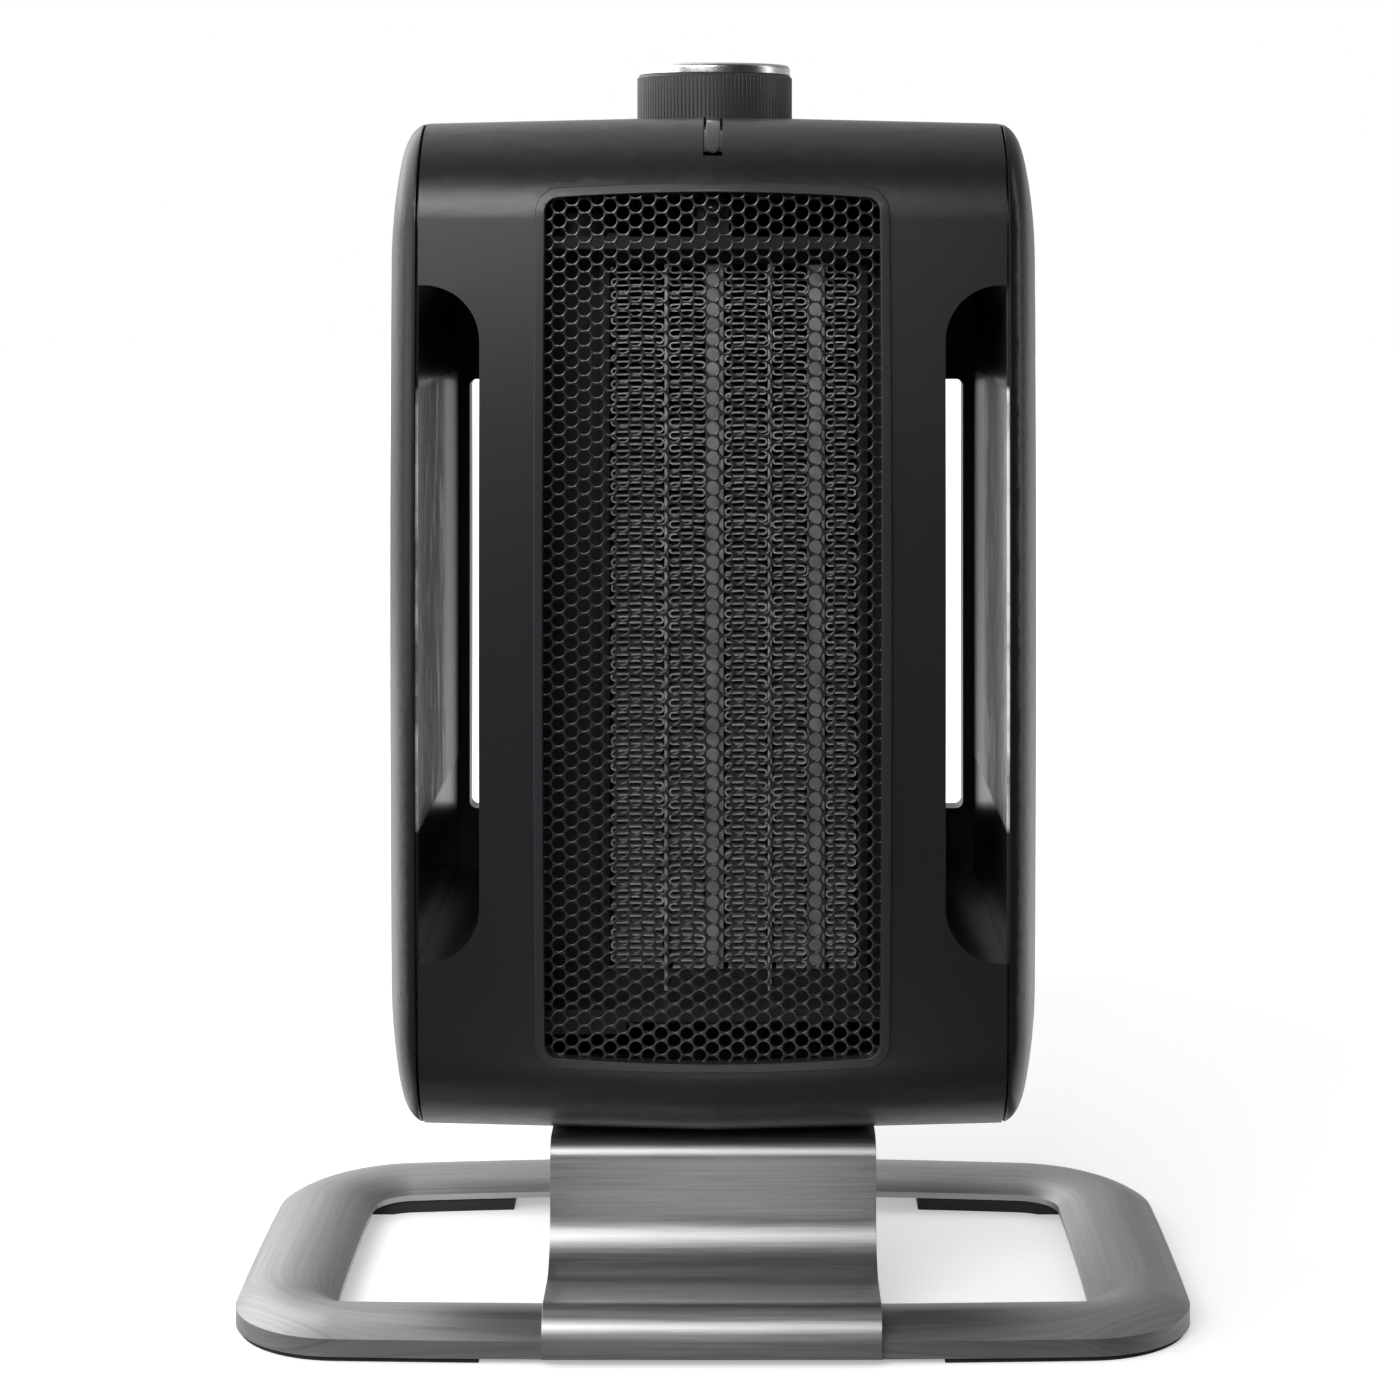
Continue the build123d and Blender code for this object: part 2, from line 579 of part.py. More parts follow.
def build_shell(side):
    """One moulded half of the casing with its slot walls, bosses, ledges and openings."""
    skin = half_block(side, 0, SHELL_HALF)
    hollow = half_block(side, WALL, SHELL_HALF - WALL)
    with BuildPart() as walls:
        add(slot_block(side, WALL))
        add(mouth_block(side, WALL))
        with BuildSketch(profile_plane(0)):
            with Locations(*CASE_SCREWS):
                Circle(CASE_BOSS_RADIUS)
        extrude(amount=side * SHELL_HALF)
        with BuildSketch(Plane.XY.offset(CASE_LOW)):
            with Locations((side * FLANGE_PAD_HALF / 2, 0)):
                Rectangle(FLANGE_PAD_HALF, 2 * FLANGE_SCREWS_Y + 4 * FLANGE_BOSS_RADIUS)
        extrude(amount=WALL + DRAFT)
        with BuildSketch(Plane.XY.offset(CASE_LOW)):
            with Locations(*flange_screw_places(side)):
                Circle(FLANGE_BOSS_RADIUS)
        extrude(amount=FLANGE_BOSS_HIGH - CASE_LOW)
        with BuildSketch(Plane.XY.offset(SEAT_LOW)):
            with Locations((side * SEAT_RADIUS / 2, KNOB_Y)):
                Rectangle(SEAT_RADIUS, 2 * SEAT_RADIUS)
        extrude(amount=SEAT_TOP - SEAT_LOW)
        for deck_low in (FLOOR_LOW, CEILING_LOW):
            with BuildSketch(Plane.XY.offset(deck_low - LEDGE_HEIGHT)):
                with Locations((side * (SHELL_HALF - (WALL + LEDGE_DEPTH) / 2), CASE_Y)):
                    Rectangle(WALL + LEDGE_DEPTH, LEDGE_LENGTH)
            extrude(amount=LEDGE_HEIGHT)
        add(skin, mode=Mode.INTERSECT)
    bezel_hole = bezel_prism(BEZEL_LAP)
    intake_hole = front_prism(INTAKE_WIDTH, INTAKE_LOW, INTAKE_HIGH, INTAKE_CORNER,
                              FAN_Y + FAN_RADIUS, CASE_BACK + PAST)
    with BuildPart() as shell:
        add(skin)
        add(hollow, mode=Mode.SUBTRACT)
        add(walls.part)
        # The flat pad under the casing stands a little proud of the drafted bottom
        with BuildSketch(Plane.XY.offset(CASE_LOW)):
            with Locations((side * FLANGE_PAD_HALF / 2, 0)):
                Rectangle(FLANGE_PAD_HALF, 2 * FLANGE_SCREWS_Y + 4 * FLANGE_BOSS_RADIUS)
        extrude(amount=WALL)
        add(slot_block(side, 0), mode=Mode.SUBTRACT)
        add(mouth_block(side, 0), mode=Mode.SUBTRACT)
        add(bezel_hole, mode=Mode.SUBTRACT)
        add(intake_hole, mode=Mode.SUBTRACT)
        # Pilot holes in the left half, clearance holes and head pockets in the right half
        with BuildSketch(profile_plane(0)):
            with Locations(*CASE_SCREWS):
                Circle(CASE_SCREW_RADIUS + (SCREW_CLEARANCE if side > 0 else 0))
        extrude(amount=side * (SHELL_HALF if side > 0 else CASE_SCREW_REACH), mode=Mode.SUBTRACT)
        if side > 0:
            with BuildSketch(profile_plane(CASE_SCREW_SEAT)):
                with Locations(*CASE_SCREWS):
                    Circle(CASE_SCREW_HEAD + SCREW_CLEARANCE)
            extrude(amount=SHELL_HALF, mode=Mode.SUBTRACT)
        with BuildSketch(Plane.XY.offset(CASE_LOW - 1)):
            with Locations(*flange_screw_places(side)):
                Circle(FLANGE_SCREW_RADIUS)
        extrude(amount=FLANGE_BOSS_HIGH - CASE_LOW, mode=Mode.SUBTRACT)
        # Shallow recess the knob turns in, and the hole for the rotary switch
        with BuildSketch(Plane.XY.offset(SEAT_TOP)):
            with Locations((0, KNOB_Y)):
                Circle(KNOB_RADIUS + KNOB_CLEARANCE)
        extrude(amount=PAST, mode=Mode.SUBTRACT)
        with BuildSketch(Plane.XY.offset(SEAT_LOW - 1)):
            with Locations((0, KNOB_Y)):
                Circle(NECK_RADIUS + NECK_CLEARANCE)
        extrude(amount=PAST + 1, mode=Mode.SUBTRACT)
        # Groove for the pilot lens along the seam
        with BuildSketch(front_plane(LENS_BACK)):
            with Locations((0, LENS_LOW + PAST)):
                Rectangle(LENS_WIDTH + 2 * LENS_GAP, 2 * PAST + 2 * LENS_GAP)
            with Locations((0, CASE_HIGH)):
                Rectangle(LENS_WIDTH + 2 * LENS_GAP, 2 * PAST)
        extrude(amount=LENS_BACK - CASE_FRONT + PAST, mode=Mode.SUBTRACT)
        # Slots for the cover's clips
        with BuildSketch(profile_plane(side * (SHELL_HALF - WALL - 1))):
            with Locations(*CLIP_POINTS):
                Rectangle(CLIP_WIDTH + 2 * PANEL_GAP, CLIP_THICK + CLIP_BARB + 2 * PANEL_GAP)
        extrude(amount=side * (WALL + 2), mode=Mode.SUBTRACT)
        if side > 0:
            with BuildSketch(front_plane(CASE_BACK + PAST)):
                with Locations((GLAND_X, GLAND_Z)):
                    Circle(GLAND_RADIUS + GLAND_CLEARANCE)
            extrude(amount=CASE_CORNER, mode=Mode.SUBTRACT)
    # The half is stored as joined zones above, below, inside and behind the air slot
    inside, outside = DUCT_HALF, SHELL_HALF + PAST
    slot_foot, slot_head = SLOT_LOW + SLOT_CORNER, SLOT_HIGH - SLOT_CORNER
    zones = []
    for near, far, low, high in ((0, outside, slot_head, CASE_HIGH + PAST), (0, outside, 0, slot_foot),
                                 (0, inside, slot_foot, slot_head), (inside, outside, slot_foot, slot_head)):
        with BuildPart() as zone:
            add(shell.part)
            with BuildSketch(front_plane(CASE_BACK + PAST)):
                with Locations((side * (near + far) / 2, (low + high) / 2)):
                    Rectangle(far - near, high - low)
            extrude(amount=CASE_BACK - CASE_FRONT + 2 * PAST, mode=Mode.INTERSECT)
        zones.extend(zone.part.solids())
    return Compound(zones)


left_shell = build_shell(-1)
save(left_shell, "left_shell")
right_shell = build_shell(1)
save(right_shell, "right_shell")


# Liners and side covers
def build_liner(side):
    """The flat inner wall of a side cover, which closes the air slot's outer side."""
    with BuildPart() as liner:
        with BuildSketch(side_plane(side * SHELL_HALF)):
            case_outline(DRAFT + LINER_INSET, COVER_CORNER_SHARE)
        extrude(amount=side * LINER_SHEET)
        with BuildSketch(profile_plane(side * SHELL_HALF)):
            with Locations(*CLIP_POINTS):
                Rectangle(CLIP_WIDTH + 2 * PANEL_GAP, CLIP_THICK + CLIP_BARB + 2 * PANEL_GAP)
        extrude(amount=side * LINER_SHEET, mode=Mode.SUBTRACT)
    return liner.part


def dome_block(side, inset, bulge):
    """The side cover's crowned block, lofted through shrinking copies of the casing's outline."""
    start = SHELL_HALF + COVER_GAP
    with BuildPart() as dome:
        for station in COVER_STATIONS:
            shoulder = COVER_SHOULDER * (1 - math.sqrt(1 - station ** 2))
            with BuildSketch(side_plane(side * (start + bulge * station))):
                case_outline(DRAFT + inset + shoulder, COVER_CORNER_SHARE)
        loft()
    return dome.part


def build_cover(side):
    """One crowned side cover with its clips."""
    outside = dome_block(side, 0, COVER_BULGE)
    inside = dome_block(side, COVER_WALL, COVER_BULGE - COVER_WALL)
    inner_end = SHELL_HALF - WALL - CLIP_REACH / 2
    with BuildPart() as cover:
        with BuildSketch(profile_plane(side * inner_end)):
            with Locations(*CLIP_POINTS):
                Rectangle(CLIP_WIDTH, CLIP_THICK)
        extrude(amount=side * (SHELL_HALF + COVER_GAP + CLIP_ROOT - inner_end))
        with BuildSketch(profile_plane(side * inner_end)):
            with Locations(*[(y, z + (CLIP_THICK + CLIP_BARB) / 2) for y, z in CLIP_POINTS]):
                Rectangle(CLIP_WIDTH, CLIP_BARB)
        extrude(amount=side * (CLIP_REACH / 2 - PANEL_GAP))
        add(outside)
        add(inside, mode=Mode.SUBTRACT)
        with BuildSketch(profile_plane(side * (SHELL_HALF + COVER_GAP))):
            with Locations(*CLIP_POINTS):
                Rectangle(CLIP_WIDTH, CLIP_THICK)
        extrude(amount=side * CLIP_ROOT)
    return cover.part


for side, name in ((-1, "left"), (1, "right")):
    save(build_liner(side), f"{name}_liner")
    save(build_cover(side), f"{name}_cover")

# Front bezel
bezel_outside = skin_layer(-BEZEL_PROUD, 0)
bezel_inside = skin_layer(0, BEZEL_NECK)
with BuildPart() as bezel_flange:
    add(bezel_prism(0))
    add(bezel_outside, mode=Mode.INTERSECT)
with BuildPart() as grille_bezel:
    add(bezel_prism(BEZEL_LAP + PANEL_GAP))
    add(bezel_inside, mode=Mode.INTERSECT)
    add(bezel_flange.part)
    add(bezel_prism(BEZEL_RIM), mode=Mode.SUBTRACT)
save(grille_bezel.part, "grille_bezel")

# Honeycomb guard behind the bezel
cell_step_x = CELL_PITCH * math.sqrt(3) / 2
guard_half_x = BEZEL_WIDTH / 2 - BEZEL_RIM - GUARD_BORDER
guard_half_z = BEZEL_HEIGHT / 2 - BEZEL_RIM - GUARD_BORDER
cell_radius = (CELL_PITCH - CELL_WEB) / math.sqrt(3)
columns = int((guard_half_x - cell_radius) / cell_step_x)
cells = []
for column in range(-columns, columns + 1):
    lift = CELL_PITCH / 2 if column % 2 else 0
    rows = int((guard_half_z - CELL_PITCH / 2 + lift) / CELL_PITCH)
    for row in range(-rows, rows + (0 if lift else 1)):
        cells.append((column * cell_step_x, BEZEL_Z + row * CELL_PITCH + lift))
with BuildPart() as front_grille:
    add(bezel_prism(BEZEL_RIM - GUARD_LAP))
    add(skin_layer(BEZEL_NECK, BEZEL_NECK + GUARD_SHEET), mode=Mode.INTERSECT)
    with BuildSketch(front_plane(ELEMENT_FRONT)):
        with Locations(*cells):
            RegularPolygon(cell_radius, 6)
    extrude(amount=ELEMENT_FRONT - CASE_FRONT + PAST, mode=Mode.SUBTRACT)
save(front_grille.part, "front_grille")

# Rear intake guard
louvre_width = (INTAKE_WIDTH - 2 * LOUVRE_BORDER - LOUVRE_RIB) / 2
louvre_rows = int((INTAKE_HEIGHT - 2 * LOUVRE_BORDER - LOUVRE_HEIGHT) / LOUVRE_PITCH) + 1
intake_front = FAN_Y + FAN_RADIUS
with BuildPart() as intake_plug:
    add(front_prism(INTAKE_WIDTH - 2 * PANEL_GAP, INTAKE_LOW + PANEL_GAP, INTAKE_HIGH - PANEL_GAP,
                    INTAKE_CORNER, intake_front, CASE_BACK + PAST))
    add(skin_layer(INTAKE_SUNK, WALL), mode=Mode.INTERSECT)
with BuildPart() as rear_grille:
    add(front_prism(INTAKE_WIDTH + 2 * INTAKE_LAP, INTAKE_LOW - INTAKE_LAP, INTAKE_HIGH + INTAKE_LAP,
                    INTAKE_CORNER, intake_front, CASE_BACK + PAST))
    add(skin_layer(WALL, WALL + INTAKE_SHEET), mode=Mode.INTERSECT)
    add(intake_plug.part)
    with BuildSketch(front_plane(CASE_BACK)):
        with Locations((0, INTAKE_Z + LOUVRE_SLANT * WALL)):
            with GridLocations(louvre_width + LOUVRE_RIB, LOUVRE_PITCH, 2, louvre_rows):
                SlotOverall(louvre_width, LOUVRE_HEIGHT)
    extrude(amount=CASE_BACK + PAST - intake_front, dir=(0, -1, -LOUVRE_SLANT), mode=Mode.SUBTRACT)
save(rear_grille.part, "rear_grille")


# Floor and ceiling of the air duct
def deck_outline():
    """Draw a deck's outline in the current sketch."""
    with Locations((0, (DECK_FRONT + DECK_BACK) / 2)):
        Rectangle(2 * DECK_HALF, DECK_BACK - DECK_FRONT)


motor_bolts = ((CORE_LEFT + MOTOR_BOLT_INSET, FAN_Y - CORE_HALF_DEPTH + MOTOR_BOLT_INSET),
               (CORE_LEFT + MOTOR_BOLT_INSET, FAN_Y + CORE_HALF_DEPTH - MOTOR_BOLT_INSET))
tab_centres = []
x = ELEMENT_LEFT + RAIL_WIDTH
element_steps = []
for index, fin_width in enumerate(FIN_WIDTHS):
    element_steps.append(("fins", x, fin_width))
    x += fin_width
    if index == len(FIN_WIDTHS) - 1:
        break
    kind, width = ("plate", PLATE_WIDTH) if index % 2 == 0 else ("bar", BAR_WIDTH)
    element_steps.append((kind, x, width))
    if kind == "plate":
        tab_centres.append(x + width / 2)
    x += width

with BuildPart() as duct_floor:
    with BuildSketch(Plane.XY.offset(FLOOR_LOW)):
        deck_outline()
        with Locations((FAN_X, FAN_Y)):
            Circle(BUSH_RADIUS + 1, mode=Mode.SUBTRACT)
    extrude(amount=DECK_SHEET)
    with BuildSketch(Plane.XY.offset(CORE_HIGH)):
        with Locations(*motor_bolts):
            Circle(MOTOR_BOSS_RADIUS)
    extrude(amount=FLOOR_LOW - CORE_HIGH)
    with BuildSketch(Plane.XY.offset(CORE_HIGH)):
        with Locations(*motor_bolts):
            Circle(MOTOR_BOLT_RADIUS)
    extrude(amount=FLOOR_LOW - CORE_HIGH, mode=Mode.SUBTRACT)
save(duct_floor.part, "duct_floor")

with BuildPart() as duct_ceiling:
    with BuildSketch(Plane.XY.offset(CEILING_LOW)):
        deck_outline()
        with Locations((FAN_X, FAN_Y)):
            Circle(BUSH_RADIUS, mode=Mode.SUBTRACT)
    extrude(amount=DECK_SHEET)
save(duct_ceiling.part, "duct_ceiling")

# Heating element
for name, rail_left in (("left", ELEMENT_LEFT), ("right", ELEMENT_RIGHT - RAIL_WIDTH)):
    with BuildPart() as element_rail:
        with BuildSketch(Plane.XY.offset(ELEMENT_LOW)):
            with Locations((rail_left + RAIL_WIDTH / 2, ELEMENT_FRONT + ELEMENT_DEPTH / 2)):
                Rectangle(RAIL_WIDTH, ELEMENT_DEPTH)
        extrude(amount=ELEMENT_HIGH - ELEMENT_LOW)
    save(element_rail.part, f"element_rail_{name}")

fin_pitch = (ELEMENT_HIGH - ELEMENT_LOW) / FIN_COUNT
counts = {"fins": 0, "plate": 0, "bar": 0}
node_names = {"fins": "fin_pack", "plate": "terminal_plate", "bar": "ceramic_bar"}
for kind, left, width in element_steps:
    counts[kind] += 1
    plate_drop = TAB_DROP if kind == "plate" else 0
    with BuildPart() as element_piece:
        with BuildSketch(Plane.XY.offset(ELEMENT_LOW - plate_drop)):
            with Locations((left + width / 2, ELEMENT_FRONT + ELEMENT_DEPTH / 2)):
                Rectangle(width, ELEMENT_DEPTH)
        extrude(amount=ELEMENT_HIGH - ELEMENT_LOW + plate_drop)
        if kind == "fins":
            with BuildSketch(front_plane(ELEMENT_BACK)):
                with Locations((left + width / 2, (ELEMENT_LOW + ELEMENT_HIGH) / 2)):
                    with GridLocations(0, fin_pitch, 1, FIN_COUNT):
                        Rectangle(width - 2 * FIN_SKIN, fin_pitch - FIN_SKIN)
            extrude(amount=ELEMENT_DEPTH, mode=Mode.SUBTRACT)
    save(element_piece.part, f"{node_names[kind]}_{counts[kind]}")

for name, low, high in (("bottom", FLOOR_TOP, ELEMENT_LOW), ("top", ELEMENT_HIGH, CEILING_LOW)):
    with BuildPart() as element_holder:
        with BuildSketch(Plane.XY.offset(low)):
            with Locations(((ELEMENT_LEFT + ELEMENT_RIGHT) / 2, ELEMENT_FRONT + ELEMENT_DEPTH / 2)):
                Rectangle(ELEMENT_WIDTH, ELEMENT_DEPTH - 2 * HOLDER_SETBACK)
            if name == "bottom":
                with Locations(*[(tab, ELEMENT_FRONT + ELEMENT_DEPTH / 2) for tab in tab_centres]):
                    Rectangle(PLATE_WIDTH + 2 * PANEL_GAP, ELEMENT_DEPTH - 4 * HOLDER_SETBACK,
                              mode=Mode.SUBTRACT)
        extrude(amount=high - low)
        if name == "bottom":
            with BuildSketch(Plane.XY.offset(ELEMENT_LOW - TAB_DROP - PANEL_GAP)):
                with Locations(*[(tab, ELEMENT_FRONT + ELEMENT_DEPTH / 2) for tab in tab_centres]):
                    Rectangle(PLATE_WIDTH + 2 * PANEL_GAP, ELEMENT_DEPTH)
            extrude(amount=TAB_DROP + PANEL_GAP, mode=Mode.SUBTRACT)
    save(element_holder.part, f"element_holder_{name}")

with BuildPart() as element_frame:
    with BuildSketch(front_plane(FRAME_Y + FRAME_SHEET)):
        with Locations((0, (FLOOR_TOP + CEILING_LOW) / 2)):
            Rectangle(2 * (DUCT_HALF - WALL - PANEL_GAP), CEILING_LOW - FLOOR_TOP)
        with Locations(((ELEMENT_LEFT + ELEMENT_RIGHT) / 2, (FLOOR_TOP + CEILING_LOW) / 2)):
            Rectangle(ELEMENT_WIDTH, CEILING_LOW - FLOOR_TOP - 4, mode=Mode.SUBTRACT)
    extrude(amount=FRAME_SHEET)
    with BuildSketch(front_plane(FRAME_Y + FRAME_SHEET)):
        with Locations(((ELEMENT_LEFT + ELEMENT_RIGHT) / 2, (FLOOR_TOP + CEILING_LOW) / 2)):
            Rectangle(ELEMENT_WIDTH, CEILING_LOW - FLOOR_TOP)
    extrude(amount=FRAME_SHEET, mode=Mode.SUBTRACT)
save(element_frame.part, "element_frame")

# Crossflow fan
section_height = (FAN_HIGH - FAN_LOW) / FAN_SECTIONS
blade_middle = FAN_RADIUS - FAN_BLADE_DEPTH / 2
with BuildPart() as fan_drum:
    with BuildSketch(Plane.XY.offset(FAN_LOW)):
        with Locations((FAN_X, FAN_Y)):
            with PolarLocations(blade_middle, FAN_BLADES):
                with Locations(Location((0, 0), FAN_BLADE_PITCH_ANGLE)):
                    Rectangle(FAN_BLADE_DEPTH, FAN_BLADE_SHEET)
    extrude(amount=FAN_HIGH - FAN_LOW)
    for section in range(1, FAN_SECTIONS):
        with BuildSketch(Plane.XY.offset(FAN_LOW + section * section_height - FAN_RING_SHEET / 2)):
            with Locations((FAN_X, FAN_Y)):
                Circle(FAN_RADIUS)
                Circle(FAN_RADIUS - FAN_BLADE_DEPTH, mode=Mode.SUBTRACT)
        extrude(amount=FAN_RING_SHEET)
    for disc_low in (FAN_LOW, FAN_HIGH - FAN_RING_SHEET):
        with BuildSketch(Plane.XY.offset(disc_low)):
            with Locations((FAN_X, FAN_Y)):
                Circle(FAN_RADIUS)
        extrude(amount=FAN_RING_SHEET)
    for hub_low in (FAN_LOW, FAN_HIGH - HUB_LENGTH):
        with BuildSketch(Plane.XY.offset(hub_low)):
            with Locations((FAN_X, FAN_Y)):
                Circle(HUB_RADIUS)
        extrude(amount=HUB_LENGTH)
    with BuildSketch(Plane.XY.offset(FAN_LOW - 1)):
        with Locations((FAN_X, FAN_Y)):
            Circle(SHAFT_RADIUS)
    extrude(amount=FAN_HIGH - FAN_LOW + 2, mode=Mode.SUBTRACT)
save(fan_drum.part, "fan_drum")

shaft_top = CEILING_TOP + 1.5
with BuildPart() as fan_shaft:
    with BuildSketch(Plane.XY.offset(SHAFT_LOW)):
        with Locations((FAN_X, FAN_Y)):
            Circle(SHAFT_RADIUS)
    extrude(amount=shaft_top - SHAFT_LOW)
    chamfer(edges().filter_by(GeomType.CIRCLE), 0.4)
save(fan_shaft.part, "fan_shaft")

with BuildPart() as upper_bush:
    with BuildSketch(Plane.XY.offset(CEILING_TOP - BUSH_LENGTH)):
        with Locations((FAN_X, FAN_Y)):
            Circle(BUSH_RADIUS)
            Circle(SHAFT_RADIUS + RUNNING_CLEARANCE, mode=Mode.SUBTRACT)
    extrude(amount=BUSH_LENGTH)
    with BuildSketch(Plane.XY.offset(CEILING_TOP)):
        with Locations((FAN_X, FAN_Y)):
            Circle(BUSH_RADIUS + 1.5)
            Circle(SHAFT_RADIUS + RUNNING_CLEARANCE, mode=Mode.SUBTRACT)
    extrude(amount=1)
save(upper_bush.part, "upper_bush")

# Scroll wall behind the fan and the cut-off wall in front of it
right_of_fan = FAN_X + FAN_RADIUS
with BuildPart() as scroll_wall:
    with BuildSketch(Plane.XY.offset(FLOOR_TOP)):
        with BuildLine():
            ThreePointArc((FAN_X - 4, FAN_Y + SCROLL_SPACE),
                          (FAN_X + 0.84 * SCROLL_SPACE, FAN_Y + 0.6 * SCROLL_SPACE),
                          (FAN_X + 1.1 * SCROLL_SPACE, FAN_Y - 8))
            Line((FAN_X + 1.1 * SCROLL_SPACE, FAN_Y - 8),
                 (ELEMENT_RIGHT + SCROLL_SHEET, ELEMENT_BACK))
        trace(line_width=SCROLL_SHEET)
    extrude(amount=CEILING_LOW - FLOOR_TOP)
save(scroll_wall.part, "scroll_wall")

with BuildPart() as cutoff_wall:
    with BuildSketch(Plane.XY.offset(FLOOR_TOP)):
        with BuildLine():
            ThreePointArc((ELEMENT_LEFT - SCROLL_SHEET, ELEMENT_BACK),
                          (FAN_X - 1.05 * SCROLL_SPACE, FAN_Y - 24),
                          (FAN_X - 0.97 * SCROLL_SPACE, FAN_Y - 10))
        trace(line_width=SCROLL_SHEET)
    extrude(amount=CEILING_LOW - FLOOR_TOP)
save(cutoff_wall.part, "cutoff_wall")

# Shaded pole motor
core_middle = (CORE_LEFT + CORE_RIGHT) / 2
window_half_depth = CORE_HALF_DEPTH - WINDOW_MARGIN
with BuildPart() as motor_core:
    with BuildSketch(Plane.XY.offset(CORE_LOW)):
        with Locations((core_middle, FAN_Y)):
            RectangleRounded(CORE_RIGHT - CORE_LEFT, 2 * CORE_HALF_DEPTH, 2)
        with Locations(((WINDOW_LEFT + WINDOW_RIGHT) / 2, FAN_Y)):
            Rectangle(WINDOW_RIGHT - WINDOW_LEFT, 2 * window_half_depth, mode=Mode.SUBTRACT)
        with Locations((FAN_X, FAN_Y)):
            Circle(ROTOR_RADIUS + AIR_GAP, mode=Mode.SUBTRACT)
        with Locations(*motor_bolts):
            Circle(MOTOR_BOLT_RADIUS, mode=Mode.SUBTRACT)
    extrude(amount=CORE_HEIGHT)
save(motor_core.part, "motor_core")

leg_width = CORE_RIGHT - WINDOW_RIGHT
leg_x = (WINDOW_RIGHT + CORE_RIGHT) / 2
coil_length = 2 * (window_half_depth - COIL_GAP)
with BuildPart() as motor_coil:
    with BuildSketch(front_plane(FAN_Y + coil_length / 2)):
        with Locations((leg_x, CORE_Z)):
            RectangleRounded(leg_width + 2 * COIL_THICK, CORE_HEIGHT + 2 * COIL_THICK, 3)
            Rectangle(leg_width, CORE_HEIGHT, mode=Mode.SUBTRACT)
    extrude(amount=coil_length)
save(motor_coil.part, "motor_coil")

with BuildPart() as motor_rotor:
    with BuildSketch(Plane.XY.offset(CORE_LOW - 0.5)):
        with Locations((FAN_X, FAN_Y)):
            Circle(ROTOR_RADIUS)
            Circle(SHAFT_RADIUS, mode=Mode.SUBTRACT)
    extrude(amount=CORE_HEIGHT + 1)
save(motor_rotor.part, "motor_rotor")

# Bearing yokes stand off the core below and above, each with its bush
yoke_middle = (CORE_LEFT + YOKE_RIGHT) / 2
yoke_length = YOKE_RIGHT - CORE_LEFT
for name, plate_low, leg_low in (("lower", CORE_LOW - YOKE_LIFT, CORE_LOW - YOKE_LIFT),
                                 ("upper", CORE_HIGH + YOKE_LIFT - YOKE_SHEET, CORE_HIGH)):
    with BuildPart() as yoke:
        with BuildSketch(Plane.XY.offset(plate_low)):
            with Locations((yoke_middle, FAN_Y)):
                Rectangle(yoke_length, 2 * YOKE_HALF_DEPTH)
            with Locations((FAN_X, FAN_Y)):
                Circle(BUSH_RADIUS, mode=Mode.SUBTRACT)
        extrude(amount=YOKE_SHEET)
        with BuildSketch(Plane.XY.offset(leg_low)):
            with Locations((yoke_middle, FAN_Y)):
                with GridLocations(yoke_length - YOKE_SHEET, 0, 2, 1):
                    Rectangle(YOKE_SHEET, 2 * YOKE_HALF_DEPTH)
        extrude(amount=YOKE_LIFT)
    save(yoke.part, f"{name}_yoke")

with BuildPart() as motor_bushes:
    for bush_low in (CORE_LOW - YOKE_LIFT, CORE_HIGH + YOKE_LIFT - YOKE_SHEET):
        with BuildSketch(Plane.XY.offset(bush_low)):
            with Locations((FAN_X, FAN_Y)):
                Circle(BUSH_RADIUS)
                Circle(SHAFT_RADIUS + RUNNING_CLEARANCE, mode=Mode.SUBTRACT)
        extrude(amount=YOKE_SHEET)
save(motor_bushes.part, "motor_bushes")

bolt_head_height = 1.6
with BuildPart() as motor_screws:
    with BuildSketch(Plane.XY.offset(CORE_LOW - bolt_head_height)):
        with Locations(*motor_bolts):
            Circle(2 * MOTOR_BOLT_RADIUS)
    extrude(amount=bolt_head_height)
    with BuildSketch(Plane.XY.offset(CORE_LOW)):
        with Locations(*motor_bolts):
            Circle(MOTOR_BOLT_RADIUS)
    extrude(amount=FLOOR_LOW - CORE_LOW - 1)
save(motor_screws.part, "motor_screws")

# Rotary switch
with BuildPart() as switch_body:
    with BuildSketch(Plane.XY.offset(SWITCH_LOW)):
        with Locations((0, KNOB_Y)):
            RectangleRounded(SWITCH_SIZE, SWITCH_SIZE, 4)
    extrude(amount=SWITCH_HIGH - SWITCH_LOW)
    with BuildSketch(Plane.XY.offset(SWITCH_HIGH)):
        with Locations((0, KNOB_Y)):
            Circle(SWITCH_COLLAR)
    extrude(amount=SEAT_LOW - SWITCH_HIGH)
    with BuildSketch(Plane.XY.offset(SEAT_LOW)):
        with Locations((0, KNOB_Y)):
            Circle(NECK_RADIUS)
    extrude(amount=NECK_TOP - SEAT_LOW)
    with BuildSketch(Plane.XY.offset(SPINDLE_LOW - 0.5)):
        with Locations((0, KNOB_Y)):
            Circle(SPINDLE_RADIUS + RUNNING_CLEARANCE)
    extrude(amount=NECK_TOP - SPINDLE_LOW + 1, mode=Mode.SUBTRACT)
save(switch_body.part, "switch_body")

with BuildPart() as switch_nut:
    with BuildSketch(Plane.XY.offset(SEAT_TOP)):
        with Locations((0, KNOB_Y)):
            RegularPolygon(SWITCH_NUT_RADIUS, 6)
            Circle(NECK_RADIUS, mode=Mode.SUBTRACT)
    extrude(amount=SWITCH_NUT_HEIGHT)
save(switch_nut.part, "switch_nut")

